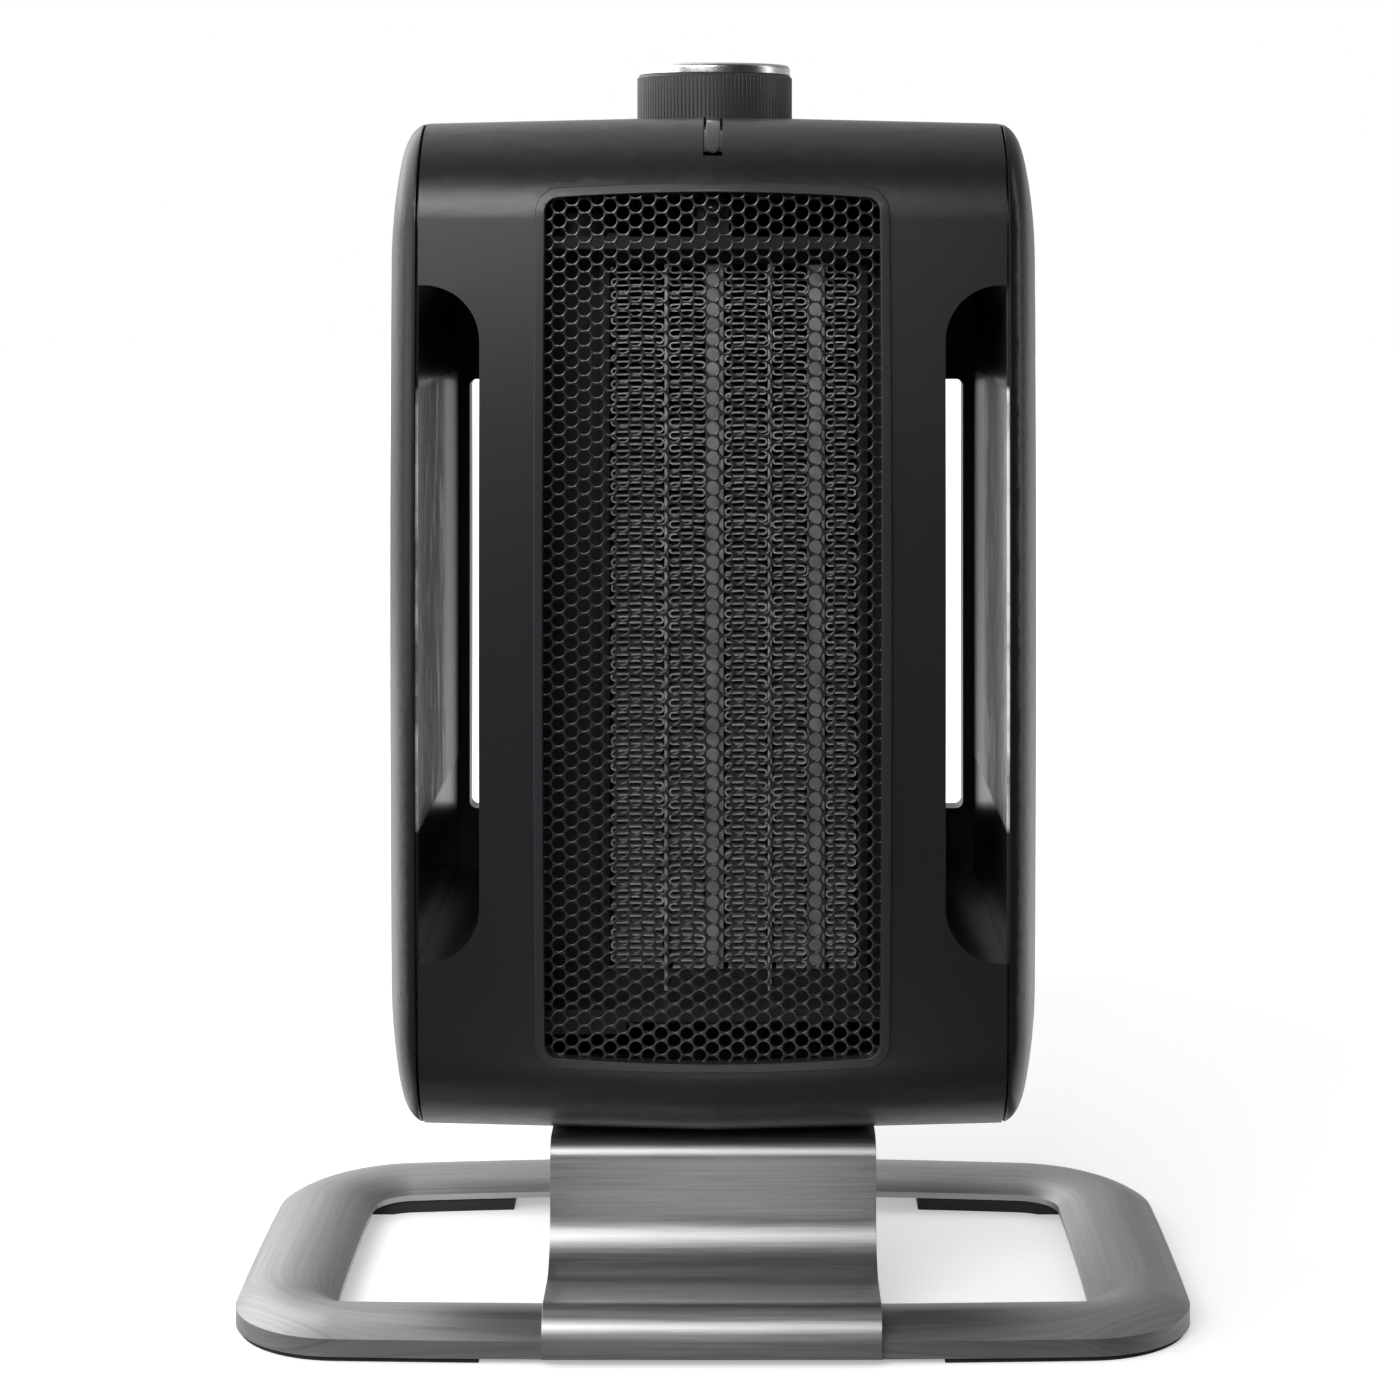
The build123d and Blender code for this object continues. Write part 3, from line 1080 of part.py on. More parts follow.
with BuildPart() as switch_spindle:
    with BuildSketch(Plane.XY.offset(SPINDLE_LOW)):
        with Locations((0, KNOB_Y)):
            Circle(SPINDLE_RADIUS)
    extrude(amount=SPINDLE_TOP - SPINDLE_LOW)
save(switch_spindle.part, "switch_spindle")

# Knob with fine ribs round its side, and its metal cap
knob_roof_low = KNOB_HIGH - KNOB_ROOF
with BuildPart() as knob:
    with BuildSketch(Plane.XY.offset(KNOB_LOW)):
        with Locations((0, KNOB_Y)):
            Circle(KNOB_RADIUS)
            with PolarLocations(KNOB_RADIUS, KNOB_GROOVES):
                Circle(KNOB_GROOVE_RADIUS, mode=Mode.SUBTRACT)
    extrude(amount=KNOB_HIGH - KNOB_EDGE - KNOB_LOW)
    with BuildSketch(Plane.XY.offset(KNOB_HIGH - KNOB_EDGE)):
        with Locations((0, KNOB_Y)):
            Circle(KNOB_RADIUS - KNOB_GROOVE_RADIUS)
    extrude(amount=KNOB_EDGE, taper=30)
    with BuildSketch(Plane.XY.offset(KNOB_LOW)):
        with Locations((0, KNOB_Y)):
            Circle(KNOB_RADIUS - KNOB_WALL)
    extrude(amount=knob_roof_low - KNOB_LOW, mode=Mode.SUBTRACT)
    with BuildSketch(Plane.XY.offset(KNOB_HUB_LOW)):
        with Locations((0, KNOB_Y)):
            Circle(KNOB_HUB_RADIUS)
            Circle(SPINDLE_RADIUS, mode=Mode.SUBTRACT)
    extrude(amount=knob_roof_low - KNOB_HUB_LOW)
    with BuildSketch(Plane.XY.offset(KNOB_HIGH - CAP_SPIGOT)):
        with Locations((0, KNOB_Y)):
            Circle(CAP_SPIGOT_RADIUS)
    extrude(amount=CAP_SPIGOT, mode=Mode.SUBTRACT)
save(knob.part, "knob")

cap_side_top = KNOB_HIGH + CAP_EDGE
cap_shoulder = cap_side_top + CAP_ROUND
cap_top = cap_shoulder + CAP_DOME
cap_foot = KNOB_HIGH - CAP_SPIGOT
with BuildPart() as knob_cap:
    with BuildSketch(Plane(origin=(0, KNOB_Y, 0), x_dir=(1, 0, 0), z_dir=(0, -1, 0))):
        with BuildLine():
            Polyline((0, cap_top), (0, cap_foot), (CAP_SPIGOT_RADIUS, cap_foot),
                     (CAP_SPIGOT_RADIUS, KNOB_HIGH), (CAP_RADIUS, KNOB_HIGH), (CAP_RADIUS, cap_side_top))
            TangentArc((CAP_RADIUS, cap_side_top), (CAP_RADIUS - CAP_ROUND, cap_shoulder), tangent=(0, 1))
            TangentArc((0, cap_top), (CAP_RADIUS - CAP_ROUND, cap_shoulder), tangent=(1, 0))
        make_face()
    revolve(axis=Axis((0, KNOB_Y, 0), (0, 0, 1)))
save(knob_cap.part, "knob_cap")

# Pilot light: lens in the seam, lamp and its holder
with BuildPart() as lens_flange:
    with BuildSketch(front_plane(LENS_BACK - PANEL_GAP)):
        with Locations((0, CASE_HIGH)):
            Rectangle(LENS_WIDTH + 2 * LENS_FLANGE, 2 * (CASE_HIGH - LENS_LOW - PANEL_GAP))
    extrude(amount=LENS_BACK - CASE_FRONT + PAST)
    add(skin_layer(WALL, WALL + LENS_FLANGE_SHEET), mode=Mode.INTERSECT)
with BuildPart() as pilot_lens:
    with BuildSketch(front_plane(LENS_BACK - PANEL_GAP)):
        with Locations((0, LENS_LOW + PAST)):
            SlotOverall(2 * PAST, LENS_WIDTH, rotation=90)
        with Locations((0, CASE_HIGH)):
            Rectangle(LENS_WIDTH, 2 * PAST)
    extrude(amount=LENS_BACK - CASE_FRONT + PAST)
    add(skin_layer(0, WALL), mode=Mode.INTERSECT)
    add(lens_flange.part)
save(pilot_lens.part, "pilot_lens")

with BuildPart() as lamp_holder:
    with BuildSketch(front_plane(LAMP_Y + LAMP_HOLDER_LENGTH / 2)):
        with Locations((0, (CEILING_TOP + LAMP_Z) / 2)):
            Rectangle(LAMP_HOLDER_WIDTH, LAMP_Z - CEILING_TOP)
        with Locations((0, LAMP_Z)):
            Circle(LAMP_HOLDER_WIDTH / 2)
            Circle(LAMP_RADIUS, mode=Mode.SUBTRACT)
    extrude(amount=LAMP_HOLDER_LENGTH)
save(lamp_holder.part, "lamp_holder")

with BuildPart() as pilot_lamp:
    with BuildSketch(front_plane(LAMP_Y + LAMP_HOLDER_LENGTH / 2)):
        with Locations((0, LAMP_Z)):
            Circle(LAMP_RADIUS)
    extrude(amount=LAMP_LENGTH)
    fillet(edges().filter_by(GeomType.CIRCLE).sort_by(Axis.Y)[0], LAMP_RADIUS - 0.2)
save(pilot_lamp.part, "pilot_lamp")

# Thermal cut-out on the duct ceiling
with BuildPart() as thermal_cutout:
    with BuildSketch(Plane.XY.offset(CEILING_TOP)):
        with Locations((CUTOUT_X, CUTOUT_Y)):
            Rectangle(2 * CUTOUT_RADIUS + 8, 8)
    extrude(amount=1)
    with BuildSketch(Plane.XY.offset(CEILING_TOP)):
        with Locations((CUTOUT_X, CUTOUT_Y)):
            Circle(CUTOUT_RADIUS)
    extrude(amount=CUTOUT_HEIGHT)
    with BuildSketch(Plane.XY.offset(CEILING_TOP + CUTOUT_HEIGHT)):
        with Locations((CUTOUT_X, CUTOUT_Y)):
            with GridLocations(CUTOUT_RADIUS, 0, 2, 1):
                Rectangle(1, 5)
    extrude(amount=CUTOUT_TAB)
save(thermal_cutout.part, "thermal_cutout")

# Terminal block under the duct floor
way_pitch = TERMINAL_LENGTH / TERMINAL_WAYS
with BuildPart() as terminal_block:
    with BuildSketch(front_plane(TERMINAL_Y + TERMINAL_DEPTH / 2)):
        with Locations((TERMINAL_X, FLOOR_LOW - TERMINAL_HEIGHT / 2)):
            Rectangle(TERMINAL_LENGTH, TERMINAL_HEIGHT)
            with GridLocations(way_pitch, 0, TERMINAL_WAYS, 1):
                Circle(TERMINAL_HOLE, mode=Mode.SUBTRACT)
    extrude(amount=TERMINAL_DEPTH)
save(terminal_block.part, "terminal_block")

# Tilt switch: a weight hangs on a pin between two cheeks
cheek_low = TILT_PIVOT_Z - 2 * TILT_HUB_RADIUS
with BuildPart() as tilt_bracket:
    with BuildSketch(Plane.XY.offset(FLOOR_LOW - TILT_CHEEK)):
        with Locations((TILT_X, TILT_Y)):
            Rectangle(TILT_WIDTH, TILT_DEPTH)
    extrude(amount=TILT_CHEEK)
    with BuildSketch(Plane.XY.offset(cheek_low)):
        with Locations((TILT_X, TILT_Y)):
            with GridLocations(TILT_WIDTH - TILT_CHEEK, 0, 2, 1):
                Rectangle(TILT_CHEEK, TILT_DEPTH)
    extrude(amount=FLOOR_LOW - cheek_low)
    with BuildSketch(profile_plane(TILT_X - TILT_WIDTH / 2 - 1)):
        with Locations((TILT_Y, TILT_PIVOT_Z)):
            Circle(TILT_PIN_RADIUS)
    extrude(amount=TILT_WIDTH + 2, mode=Mode.SUBTRACT)
save(tilt_bracket.part, "tilt_bracket")

with BuildPart() as tilt_pin:
    with BuildSketch(profile_plane(TILT_X - TILT_WIDTH / 2)):
        with Locations((TILT_Y, TILT_PIVOT_Z)):
            Circle(TILT_PIN_RADIUS)
    extrude(amount=TILT_WIDTH)
save(tilt_pin.part, "tilt_pin")

with BuildPart() as tilt_weight:
    with BuildSketch(profile_plane(TILT_X - TILT_BOB_LENGTH / 2)):
        with Locations((TILT_Y, TILT_BOB_Z)):
            Circle(TILT_BOB_RADIUS)
        with Locations((TILT_Y, (TILT_PIVOT_Z + TILT_BOB_Z) / 2)):
            Rectangle(2 * TILT_HUB_RADIUS, TILT_PIVOT_Z - TILT_BOB_Z)
        with Locations((TILT_Y, TILT_PIVOT_Z)):
            Circle(TILT_HUB_RADIUS)
            Circle(TILT_PIN_RADIUS + RUNNING_CLEARANCE, mode=Mode.SUBTRACT)
    extrude(amount=TILT_BOB_LENGTH)
save(tilt_weight.part, "tilt_weight")

# Cord inlet gland and its nut, shaped to the casing's curved back
gland_end = BASE_DEPTH / 2 + STRAP_GAP + STRAP_SHEET


def gland_prism(radius, y_front, y_back):
    """A round prism along Y at the gland's place."""
    with BuildPart() as prism:
        with BuildSketch(front_plane(y_back)):
            with Locations((GLAND_X, GLAND_Z)):
                Circle(radius)
        extrude(amount=y_back - y_front)
    return prism.part


with BuildPart() as gland_rim:
    add(gland_prism(GLAND_FLANGE, CASE_BACK - CASE_CORNER, gland_end))
    add(skin_layer(-GLAND_FLANGE_SHEET, 0), mode=Mode.INTERSECT)
with BuildPart() as cord_gland:
    add(gland_prism(GLAND_RADIUS, CASE_BACK - CASE_CORNER / 2, gland_end))
    add(gland_rim.part)
    add(gland_prism(GLAND_BORE, CASE_BACK - CASE_CORNER, gland_end), mode=Mode.SUBTRACT)
save(cord_gland.part, "cord_gland")

with BuildPart() as gland_nut:
    add(gland_prism(GLAND_FLANGE, CASE_BACK - CASE_CORNER, gland_end))
    add(skin_layer(WALL, WALL + GLAND_NUT_SHEET), mode=Mode.INTERSECT)
    add(gland_prism(GLAND_RADIUS, CASE_BACK - CASE_CORNER, gland_end), mode=Mode.SUBTRACT)
save(gland_nut.part, "gland_nut")

# Screws that join the shells, and screws that hold the casing on the strap
with BuildPart() as case_screws:
    with BuildSketch(profile_plane(CASE_SCREW_SEAT)):
        with Locations(*CASE_SCREWS):
            Circle(CASE_SCREW_HEAD)
    extrude(amount=CASE_SCREW_HEAD_HEIGHT)
    with BuildSketch(profile_plane(CASE_SCREW_SEAT)):
        with Locations(*CASE_SCREWS):
            Circle(CASE_SCREW_RADIUS)
    extrude(amount=-CASE_SCREW_SEAT - CASE_SCREW_REACH + 0.5)
save(case_screws.part, "case_screws")

with BuildPart() as flange_screws:
    with BuildSketch(Plane.XY.offset(FLANGE_LOW - FLANGE_HEAD_HEIGHT)):
        with GridLocations(2 * FLANGE_SCREWS_X, 2 * FLANGE_SCREWS_Y, 2, 2):
            Circle(FLANGE_HEAD_RADIUS)
    extrude(amount=FLANGE_HEAD_HEIGHT)
    with BuildSketch(Plane.XY.offset(FLANGE_LOW)):
        with GridLocations(2 * FLANGE_SCREWS_X, 2 * FLANGE_SCREWS_Y, 2, 2):
            Circle(FLANGE_SCREW_RADIUS)
    extrude(amount=FLANGE_BOSS_HIGH - FLANGE_LOW - 2)
save(flange_screws.part, "flange_screws")
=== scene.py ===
import json
import logging
import math
from dataclasses import dataclass
from enum import Enum
from typing import Callable, Iterable

import bmesh
import bpy
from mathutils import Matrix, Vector


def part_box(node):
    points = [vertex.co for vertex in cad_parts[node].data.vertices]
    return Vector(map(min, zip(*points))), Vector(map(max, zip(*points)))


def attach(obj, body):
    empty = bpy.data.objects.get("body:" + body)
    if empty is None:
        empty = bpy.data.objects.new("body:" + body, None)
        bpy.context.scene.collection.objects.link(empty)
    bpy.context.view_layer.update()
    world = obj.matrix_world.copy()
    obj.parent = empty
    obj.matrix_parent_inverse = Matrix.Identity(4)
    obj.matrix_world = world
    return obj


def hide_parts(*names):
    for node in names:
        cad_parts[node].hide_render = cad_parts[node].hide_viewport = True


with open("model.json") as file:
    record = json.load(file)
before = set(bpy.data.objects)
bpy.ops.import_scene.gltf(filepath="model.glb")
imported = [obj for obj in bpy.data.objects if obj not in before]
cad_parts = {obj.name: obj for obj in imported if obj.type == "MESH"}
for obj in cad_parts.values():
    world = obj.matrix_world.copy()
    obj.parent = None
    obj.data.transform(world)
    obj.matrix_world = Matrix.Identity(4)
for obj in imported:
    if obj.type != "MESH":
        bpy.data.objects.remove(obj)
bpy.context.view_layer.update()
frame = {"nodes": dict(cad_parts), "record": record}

LOG = logging.getLogger("heater")
MM = 0.001


class Body(Enum):
    """The moving groups of the heater that a piece can ride on."""

    CASING = "casing"
    KNOB = "knob"
    FAN = "fan"
    TILT = "tilt_weight"


class Brush(Enum):
    """Which way the brushing of a metal face runs."""

    ALONG_X = (0.02, 1.0, 1.0)
    ALONG_Z = (1.0, 1.0, 0.02)
    TURNED = (1.0, 1.0, 1.0)


# Shader maths
class Wire:
    """One value in a node tree that can be used in plain arithmetic."""

    def __init__(self, sheet: "NodeSheet", socket: bpy.types.NodeSocket) -> None:
        """Keep the socket and the sheet that it belongs to."""
        self.sheet = sheet
        self.socket = socket

    def __add__(self, other: "Wire | float") -> "Wire":
        """Add."""
        return self.sheet.math("ADD", self, other)

    def __radd__(self, other: float) -> "Wire":
        """Add, number first."""
        return self.sheet.math("ADD", other, self)

    def __sub__(self, other: "Wire | float") -> "Wire":
        """Subtract."""
        return self.sheet.math("SUBTRACT", self, other)

    def __rsub__(self, other: float) -> "Wire":
        """Subtract from a number."""
        return self.sheet.math("SUBTRACT", other, self)

    def __mul__(self, other: "Wire | float") -> "Wire":
        """Multiply."""
        return self.sheet.math("MULTIPLY", self, other)

    def __rmul__(self, other: float) -> "Wire":
        """Multiply, number first."""
        return self.sheet.math("MULTIPLY", other, self)

    def __truediv__(self, other: "Wire | float") -> "Wire":
        """Divide."""
        return self.sheet.math("DIVIDE", self, other)

    def __abs__(self) -> "Wire":
        """Absolute value."""
        return self.sheet.math("ABSOLUTE", self, 0.0)

    def over(self, other: "Wire | float") -> "Wire":
        """The larger of two values."""
        return self.sheet.math("MAXIMUM", self, other)

    def under(self, other: "Wire | float") -> "Wire":
        """The smaller of two values."""
        return self.sheet.math("MINIMUM", self, other)

    def between(self, low: float, high: float) -> "Wire":
        """A smooth step from 0 at low to 1 at high.

        Args:
            low: Value at which the step starts.
            high: Value at which the step ends.

        Returns:
            The step as a value from 0 to 1.
        """
        node = self.sheet.add("ShaderNodeMapRange", {"interpolation_type": "SMOOTHSTEP"},
                              {"Value": self, "From Min": low, "From Max": high})
        return Wire(self.sheet, node.outputs["Result"])


class NodeSheet:
    """A material's node tree, from its coordinates to its Principled shader."""

    def __init__(self, name: str) -> None:
        """Start an empty material.

        Args:
            name: Name of the material.
        """
        self.material = bpy.data.materials.new(name)
        self.material.use_nodes = True
        self.tree = self.material.node_tree
        self.tree.nodes.clear()
        self.output = self.tree.nodes.new("ShaderNodeOutputMaterial")
        self.shader = self.tree.nodes.new("ShaderNodeBsdfPrincipled")
        self.tree.links.new(self.shader.outputs["BSDF"], self.output.inputs["Surface"])
        self.place = Wire(self, self.tree.nodes.new("ShaderNodeTexCoord").outputs["Object"])

    def add(self, kind: str, settings: dict[str, object], sockets: dict[str | int, object]) -> bpy.types.Node:
        """Add one node.

        Args:
            kind: Blender's name for the node type.
            settings: Properties of the node, set first.
            sockets: Values or wires for the node's inputs.

        Returns:
            The new node.
        """
        node = self.tree.nodes.new(kind)
        for key, value in settings.items():
            if key == "stops":
                ramp = node.color_ramp
                while len(ramp.elements) < len(value):
                    ramp.elements.new(1.0)
                for element, (position, grey) in zip(ramp.elements, value):
                    element.position = position
                    element.color = (grey, grey, grey, 1.0)
            else:
                setattr(node, key, value)
        for key, value in sockets.items():
            if isinstance(value, Wire):
                self.tree.links.new(value.socket, node.inputs[key])
            else:
                node.inputs[key].default_value = value
        return node

    def math(self, operation: str, first: Wire | float, second: Wire | float) -> Wire:
        """One Math node as a wire."""
        node = self.add("ShaderNodeMath", {"operation": operation}, {0: first, 1: second})
        return Wire(self, node.outputs[0])

    def axes(self) -> tuple[Wire, Wire, Wire]:
        """The three coordinates of the surface point, in metres."""
        node = self.add("ShaderNodeSeparateXYZ", {}, {0: self.place})
        return tuple(Wire(self, node.outputs[index]) for index in range(3))

    def point(self, x: Wire | float, y: Wire | float, z: Wire | float) -> Wire:
        """A vector put together from three values."""
        return Wire(self, self.add("ShaderNodeCombineXYZ", {}, {0: x, 1: y, 2: z}).outputs[0])

    def noise(self, scale: float, detail: float = 2.0, stretch: tuple[float, float, float] = (1, 1, 1),
              where: Wire | None = None, rough: float = 0.5) -> Wire:
        """A noise value about 0.5.

        Args:
            scale: Features per metre.
            detail: Octaves of finer noise.
            stretch: Scale of each axis; small values draw the noise out along that axis.
            where: Coordinates to use in place of the object's own.
            rough: How strong the finer octaves are.

        Returns:
            The noise as a value from 0 to 1.
        """
        mapping = self.add("ShaderNodeMapping", {}, {"Vector": where or self.place, "Scale": stretch})
        node = self.add("ShaderNodeTexNoise", {}, {"Vector": Wire(self, mapping.outputs[0]), "Scale": scale,
                                                   "Detail": detail, "Roughness": rough})
        return Wire(self, node.outputs[0])

    def blend(self, factor: Wire, first: tuple[float, ...], second: tuple[float, ...]) -> Wire:
        """A colour between two colours.

        Args:
            factor: 0 for the first colour and 1 for the second.
            first: Red, green and blue.
            second: Red, green and blue.

        Returns:
            The mixed colour.
        """
        node = self.add("ShaderNodeMix", {"data_type": "RGBA"},
                        {0: factor, 6: (*first, 1.0), 7: (*second, 1.0)})
        return Wire(self, node.outputs[2])

    def bump(self, height: Wire, strength: float, depth: float) -> None:
        """Raise the surface by a height pattern.

        Args:
            height: Height from 0 to 1.
            strength: How much of the effect to show.
            depth: Real height of the pattern in metres.
        """
        node = self.add("ShaderNodeBump", {}, {"Strength": strength, "Distance": depth, "Height": height})
        self.feed("Normal", Wire(self, node.outputs[0]))

    def feed(self, socket: str, value: Wire | float | tuple[float, ...]) -> None:
        """Set or link one socket of the Principled shader."""
        target = self.shader.inputs[socket]
        if isinstance(value, Wire):
            self.tree.links.new(value.socket, target)
        else:
            target.default_value = value


def shade(colour: tuple[float, float, float], factor: float) -> tuple[float, float, float]:
    """A colour made darker or lighter."""
    return tuple(min(1.0, channel * factor) for channel in colour)


# Finishes
@dataclass(frozen=True)
class MouldedPlastic:
    """Moulded plastic with a fine spark-eroded grain and faint flow and handling marks."""

    name: str
    colour: tuple[float, float, float] = (0.0075, 0.0078, 0.0105)
    roughness: float = 0.35
    grain: float = 2600.0
    depth: float = 0.00002
    strength: float = 0.25
    cloud: float = 0.05
    gloss: float = 0.5

    def make(self) -> bpy.types.Material:
        """Build the material."""
        sheet = NodeSheet(self.name)
        cloud = sheet.noise(14.0, 3.0)
        fine = sheet.noise(self.grain, 2.0)
        sheet.feed("Base Color", sheet.blend(cloud, shade(self.colour, 0.82), shade(self.colour, 1.22)))
        sheet.feed("Roughness", self.roughness + (cloud - 0.5) * self.cloud + (fine - 0.5) * 0.06)
        sheet.feed("Specular IOR Level", self.gloss)
        sheet.bump(fine, self.strength, self.depth)
        return sheet.material


@dataclass(frozen=True)
class BrushedMetal:
    """Brushed metal with fine straight scratches and a slow change of tone."""

    name: str
    colour: tuple[float, float, float] = (0.42, 0.42, 0.42)
    roughness: float = 0.4
    brush: Brush = Brush.ALONG_X
    scratch: float = 1700.0
    depth: float = 0.00003
    strength: float = 0.35
    contrast: float = 0.2

    def make(self) -> bpy.types.Material:
        """Build the material."""
        sheet = NodeSheet(self.name)
        lines = sheet.noise(self.scratch, 3.0, self.brush.value, rough=0.6)
        wide = sheet.noise(self.scratch / 9, 2.0, self.brush.value)
        tone = lines * 0.6 + wide * 0.4
        sheet.feed("Base Color", sheet.blend(tone.between(0.3, 0.7), shade(self.colour, 1 - self.contrast),
                                             shade(self.colour, 1 + self.contrast)))
        sheet.feed("Metallic", 1.0)
        sheet.feed("Roughness", self.roughness + (tone - 0.5) * 0.22)
        sheet.bump(lines, self.strength, self.depth)
        return sheet.material


@dataclass(frozen=True)
class BrushedRing:
    """Brushed metal whose scratches follow a rounded rectangle round its middle."""

    name: str
    half_width: float
    half_depth: float
    bow: float
    corner: float
    colour: tuple[float, float, float] = (0.36, 0.365, 0.37)
    roughness: float = 0.46

    def make(self) -> bpy.types.Material:
        """Build the material."""
        sheet = NodeSheet(self.name)
        x, y, z = sheet.axes()
        reach = abs(y) + (x * x) * (self.bow / self.half_width ** 2)
        over_x = (abs(x) - (self.half_width - self.corner))
        over_y = (reach - (self.half_depth - self.corner))
        out_x, out_y = over_x.over(0.0), over_y.over(0.0)
        corner = sheet.math("SQRT", out_x * out_x + out_y * out_y, 0.0)
        across = corner + over_x.over(over_y).under(0.0)
        where = sheet.point(across + z * 0.7, x * 0.012, y * 0.012)
        lines = sheet.noise(1500.0, 3.0, where=where, rough=0.6)
        wide = sheet.noise(260.0, 2.0, where=where)
        tone = lines * 0.6 + wide * 0.4
        sheet.feed("Base Color", sheet.blend(tone.between(0.3, 0.7), shade(self.colour, 0.84),
                                             shade(self.colour, 1.16)))
        sheet.feed("Metallic", 1.0)
        sheet.feed("Roughness", self.roughness + (tone - 0.5) * 0.2)
        sheet.bump(lines, 0.3, 0.00003)
        return sheet.material


@dataclass(frozen=True)
class SlotLining:
    """The lining of an air slot: dark plastic with a painted band of reflected light between two heights,
    broken into upright streaks at the front.
    """

    name: str
    colour: tuple[float, float, float] = (0.02, 0.021, 0.024)
    # colour of the painted band of light that stands for light through the slot's mouth
    painted_light_colour: tuple[float, float, float] = (0.88, 0.88, 0.89)
    roughness: float = 0.25
    streaked_to: float = 0.015
    low: float = 0.127
    high: float = 0.237

    def make(self) -> bpy.types.Material:
        """Build the material."""
        sheet = NodeSheet(self.name)
        _, y, z = sheet.axes()
        # painted light: a bright band between low and high stands for the light through the slot's mouth seen
        # in reflection
        painted_light_band = z.between(self.low - MM, self.low + MM) * (1.0 - z.between(self.high - MM, self.high + MM))
        streak = sheet.noise(130.0, 5.0, (0.3, 1.0, 0.25), rough=0.65)
        fleck = sheet.noise(320.0, 3.0, (0.3, 1.0, 0.3))
        front = 1.0 - y.between(self.streaked_to - 0.012, self.streaked_to + 0.008)
        # painted light mask: the band, streaked at the front and a quarter bright everywhere else in the band
        painted_light_mask = painted_light_band * ((streak * 0.6 + fleck * 0.4).between(0.38, 0.54) * front * 0.75 + 0.25)
        sheet.feed("Base Color", sheet.blend(painted_light_mask, self.colour, self.painted_light_colour))
        sheet.feed("Roughness", self.roughness + painted_light_mask * 0.2)
        sheet.bump(streak * front * painted_light_band, 0.4, 0.00012)
        return sheet.material


@dataclass(frozen=True)
class CastOrRolled:
    """Bare or painted metal with an even, slightly mottled surface."""

    name: str
    colour: tuple[float, float, float] = (0.55, 0.55, 0.56)
    roughness: float = 0.35
    metallic: float = 1.0
    mottle: float = 180.0
    contrast: float = 0.15
    strength: float = 0.2

    def make(self) -> bpy.types.Material:
        """Build the material."""
        sheet = NodeSheet(self.name)
        cloud = sheet.noise(self.mottle, 4.0)
        fine = sheet.noise(self.mottle * 14, 2.0)
        sheet.feed("Base Color", sheet.blend(cloud.between(0.3, 0.7), shade(self.colour, 1 - self.contrast),
                                             shade(self.colour, 1 + self.contrast)))
        sheet.feed("Metallic", self.metallic)
        sheet.feed("Roughness", self.roughness + (cloud - 0.5) * 0.2)
        sheet.bump(fine, self.strength, 0.00003)
        return sheet.material


@dataclass(frozen=True)
class SmokedLens:
    """Dark clear plastic with faint flow lines."""

    name: str
    colour: tuple[float, float, float] = (0.03, 0.03, 0.035)

    def make(self) -> bpy.types.Material:
        """Build the material."""
        sheet = NodeSheet(self.name)
        flow = sheet.noise(160.0, 2.0, (1.0, 1.0, 0.2))
        sheet.feed("Base Color", sheet.blend(flow, shade(self.colour, 0.8), shade(self.colour, 1.3)))
        sheet.feed("Roughness", 0.12 + flow * 0.08)
        sheet.feed("Coat Weight", 0.4)
        sheet.feed("Transmission Weight", 0.15)
        sheet.bump(flow, 0.1, 0.0001)
        return sheet.material


# Modelling helpers
def only(*chosen: bpy.types.Object) -> None:
    """Select these objects alone and make the first one active."""
    bpy.ops.object.select_all(action="DESELECT")
    for item in chosen:
        item.select_set(True)
    bpy.context.view_layer.objects.active = chosen[0]


def in_edit_mode(piece: bpy.types.Object, work: Callable[[bmesh.types.BMesh], None]) -> None:
    """Run selection code and operators on a piece in edit mode.

    Args:
        piece: The mesh object.
        work: Takes the edit mesh, selects in it and runs operators.
    """
    only(piece)
    bpy.ops.object.mode_set(mode="EDIT")
    bpy.ops.mesh.select_mode(type="FACE")
    bpy.ops.mesh.select_all(action="DESELECT")
    mesh = bmesh.from_edit_mesh(piece.data)
    work(mesh)
    bpy.ops.object.mode_set(mode="OBJECT")


def apply_modifier(piece: bpy.types.Object, kind: str, **settings: object) -> None:
    """Add a modifier with its settings and apply it."""
    only(piece)
    modifier = piece.modifiers.new(kind.title(), kind)
    for key, value in settings.items():
        setattr(modifier, key, value)
    bpy.ops.object.modifier_apply(modifier=modifier.name)


def smooth(piece: bpy.types.Object, angle: float = 30.0) -> None:
    """Shade a piece smooth up to an angle in degrees."""
    only(piece)
    bpy.ops.object.shade_smooth_by_angle(angle=math.radians(angle))


def settle(piece: bpy.types.Object) -> None:
    """Put the object's place into its mesh."""
    only(piece)
    bpy.ops.object.transform_apply(location=True, rotation=True, scale=True)


def dress(piece: bpy.types.Object, finish: bpy.types.Material) -> None:
    """Give every material slot of a piece one finish."""
    if not piece.material_slots:
        piece.data.materials.append(finish)
    for place in piece.material_slots:
        place.material = finish


def hand_over(piece: bpy.types.Object, finish: bpy.types.Material, body: Body,
              nodes: Iterable[str] = ()) -> bpy.types.Object:
    """Dress a finished piece and fasten it to its body.

    Args:
        piece: The finished mesh object.
        finish: Its material.
        body: The body it rides on.
        nodes: CAD nodes that it stands for.

    Returns:
        The piece.
    """
    dress(piece, finish)
    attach(piece, body.value)
    nodes = list(nodes)
    if nodes:
        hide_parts(*nodes)
    LOG.info("%s: %d faces on %s", piece.name, len(piece.data.polygons), body.value)
    return piece


